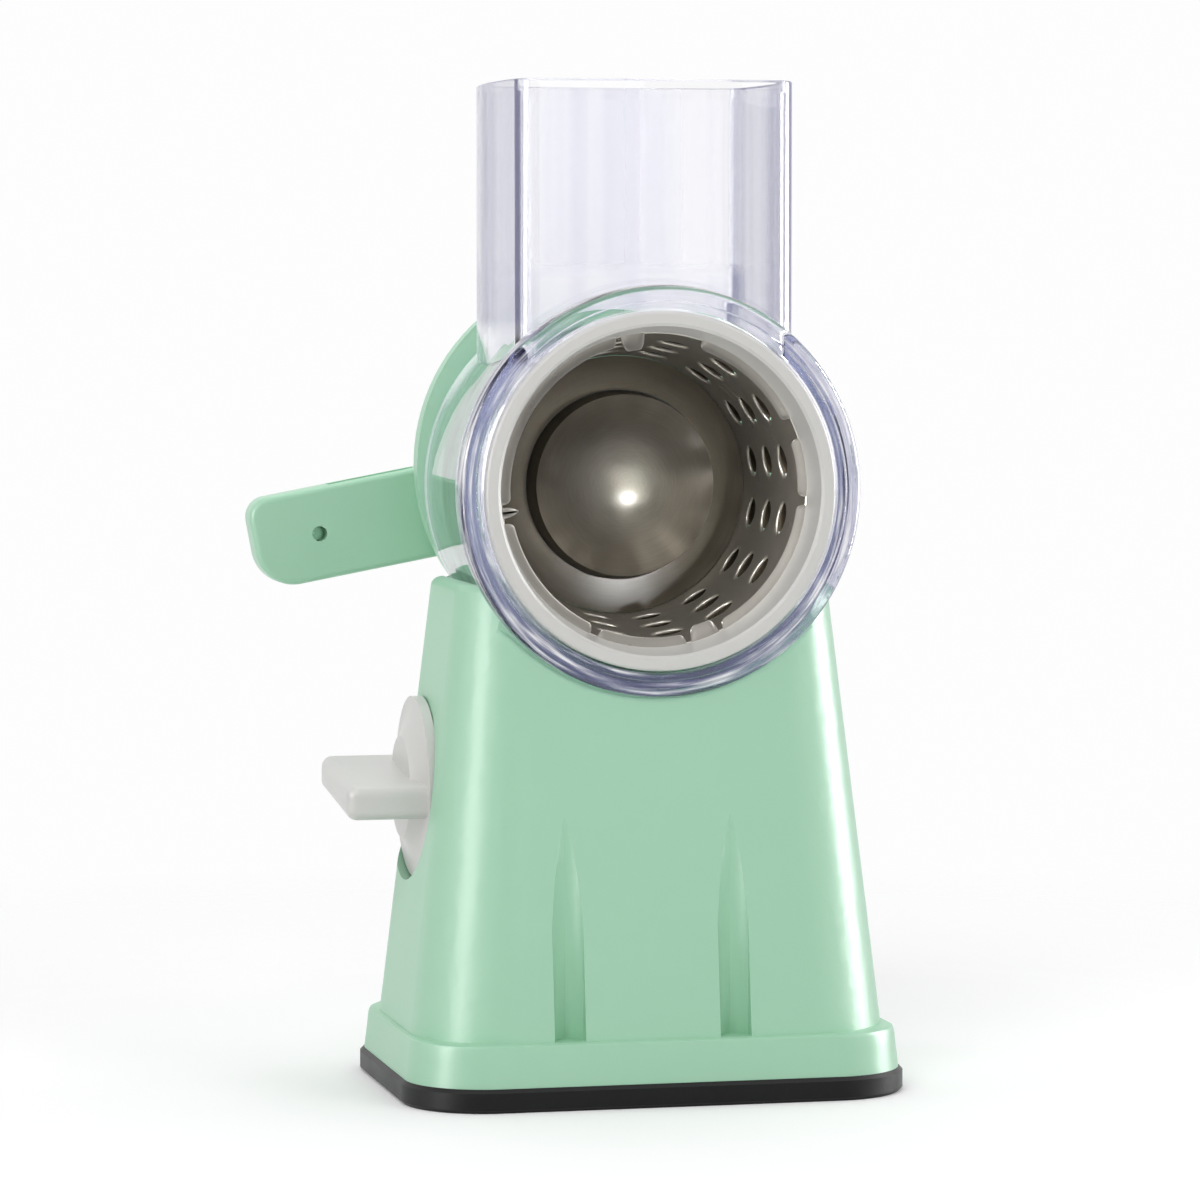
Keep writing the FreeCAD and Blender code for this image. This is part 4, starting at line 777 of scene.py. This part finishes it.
# The photograph's camera, with its focal length in pixels of its picture
CAMERA_PLACE = Vector((-0.3222, -1.3387, 0.2188))
CAMERA_TURN, CAMERA_DIP = math.radians(13.21), math.radians(3.55)
FOCAL_PIXELS, PICTURE_PIXELS = 4984, 1200
SENSOR_WIDTH = 36

# Area lamps: place, what they point at, width and height, and power in watts;
# then, for some, that they only glint, and how many degrees they spread
TOWER, FOOT, DOME = (0, 0, 0.14), (0, 0, 0.12), (0, 0.005, 0.165)
LAMPS = {
    "key": ((-0.7, -1.15, 1.25), TOWER, (0.8, 0.8), 9.6),
    "left_strip": ((-1.27, -0.46, 0.3), FOOT, (0.42, 1.1), 23, True),
    "right_strip": ((1.3, 0.04, 0.3), FOOT, (0.5, 1.1), 46, True),
    "left_fill": ((-1.2, 0.1, 0.5), FOOT, (0.5, 0.8), 2),
    "right_fill": ((1.2, 0.2, 0.5), FOOT, (0.5, 0.8), 2),
    "fill": ((0.9, -1.1, 0.7), TOWER, (0.7, 0.8), 3.8),
    "top": ((0.1, 0.3, 1.3), TOWER, (0.9, 0.9), 6),
    "dome_card": ((0.03, -1.08, 0.2), DOME, (0.36, 0.36), 0.45, True),
    "eye_light": ((0.13, -0.53, 0.105), DOME, (0.02, 0.02), 0.001, True, 6),
}


def flat_card(name, corners, material):
    """One face of the studio, which is no part of the object."""
    mesh = bpy.data.meshes.new(name)
    mesh.from_pydata(corners, [], [(0, 1, 2, 3)])
    mesh.materials.append(material)
    card = placed(name, mesh)
    return card


def level_corners(left, right, front, rear, height):
    return [(left, front, height), (right, front, height), (right, rear, height), (left, rear, height)]


def pale_floor():
    """A floor that keeps the shadow near the object and opens to the white background further out."""
    finish = Finish("pale_floor")
    x, y, _ = finish.axes()
    away = (x * x + y * y).root().rising(OPENS_FROM, OPENS_OVER)
    matt = finish.node("ShaderNodeBsdfDiffuse", {}, {"Color": (0.9, 0.9, 0.9, 1)})
    glow = finish.node("ShaderNodeEmission", {}, {"Color": (1, 1, 1, 1), "Strength": FLOOR_GLOW})
    lit = finish.node("ShaderNodeAddShader", {}, {0: matt, 1: glow})
    background = finish.node("ShaderNodeBsdfTransparent")
    return finish.finished(finish.blended(finish.seen_rays(), matt, finish.blended(away, lit, background)))


def dark_cloth():
    finish = Finish("dark_card")
    return finish.finished(finish.node("ShaderNodeBsdfDiffuse", {}, {"Color": (0.03, 0.028, 0.025, 1)}))


def add_stage():
    floor = level_corners(-FLOOR_HALF, FLOOR_HALF, -FLOOR_HALF, FLOOR_HALF, 0)
    upright = [(CARD_LEFT, CARD_PLACE, 0), (CARD_RIGHT, CARD_PLACE, 0),
               (CARD_RIGHT, CARD_PLACE, CARD_TOP), (CARD_LEFT, CARD_PLACE, CARD_TOP)]
    level = level_corners(CARD_LEFT, CARD_RIGHT, CARD_PLACE, MAT_REAR, MAT_HEIGHT)
    flat_card("floor", floor, pale_floor())
    dark = dark_cloth()
    for thing in (flat_card("dark_card", upright, dark), flat_card("dark_mat", level, dark)):
        thing.visible_camera = False
        thing.visible_transmission = False
        thing.visible_diffuse = False
        thing.visible_shadow = False


def add_world():
    """White all round for looking rays, softer as a light."""
    world = bpy.data.worlds.new("studio")
    bpy.context.scene.world = world
    world.use_nodes = True
    graph = Graph(world.node_tree)
    soft = graph.node("ShaderNodeBackground", {}, {"Color": (1, 1, 1, 1), "Strength": BACKGROUND_LIGHT})
    white = graph.node("ShaderNodeBackground", {}, {"Color": BACKGROUND})
    graph.node("ShaderNodeOutputWorld", {}, {"Surface": graph.blended(graph.seen_rays(), soft, white)})


def aim(thing, place, target):
    thing.location = place
    thing.rotation_euler = (Vector(target) - Vector(place)).to_track_quat("-Z", "Y").to_euler()


def add_lamp(name, place, target, size, power, glint=False, spread=180):
    """An area lamp; a glint is seen in shiny surfaces and lights nothing else."""
    lamp = bpy.data.lights.new(name, "AREA")
    lamp.shape = "RECTANGLE"
    lamp.size, lamp.size_y = size
    lamp.energy = power
    lamp.spread = math.radians(spread)
    thing = placed(name, lamp)
    aim(thing, place, target)
    thing.visible_diffuse = not glint


def add_camera():
    """The photograph's view: from the front, a little to the left and above."""
    ahead = Vector((math.sin(CAMERA_TURN) * math.cos(CAMERA_DIP),
                    math.cos(CAMERA_TURN) * math.cos(CAMERA_DIP), -math.sin(CAMERA_DIP)))
    camera = bpy.data.cameras.new("camera")
    camera.sensor_width = SENSOR_WIDTH
    camera.lens = SENSOR_WIDTH * FOCAL_PIXELS / PICTURE_PIXELS
    thing = placed("camera", camera)
    aim(thing, CAMERA_PLACE, CAMERA_PLACE + ahead)
    bpy.context.scene.camera = thing


add_stage()
add_world()
for name, settings in LAMPS.items():
    add_lamp(name, *settings)
add_camera()
bpy.context.scene.view_settings.view_transform = "Standard"
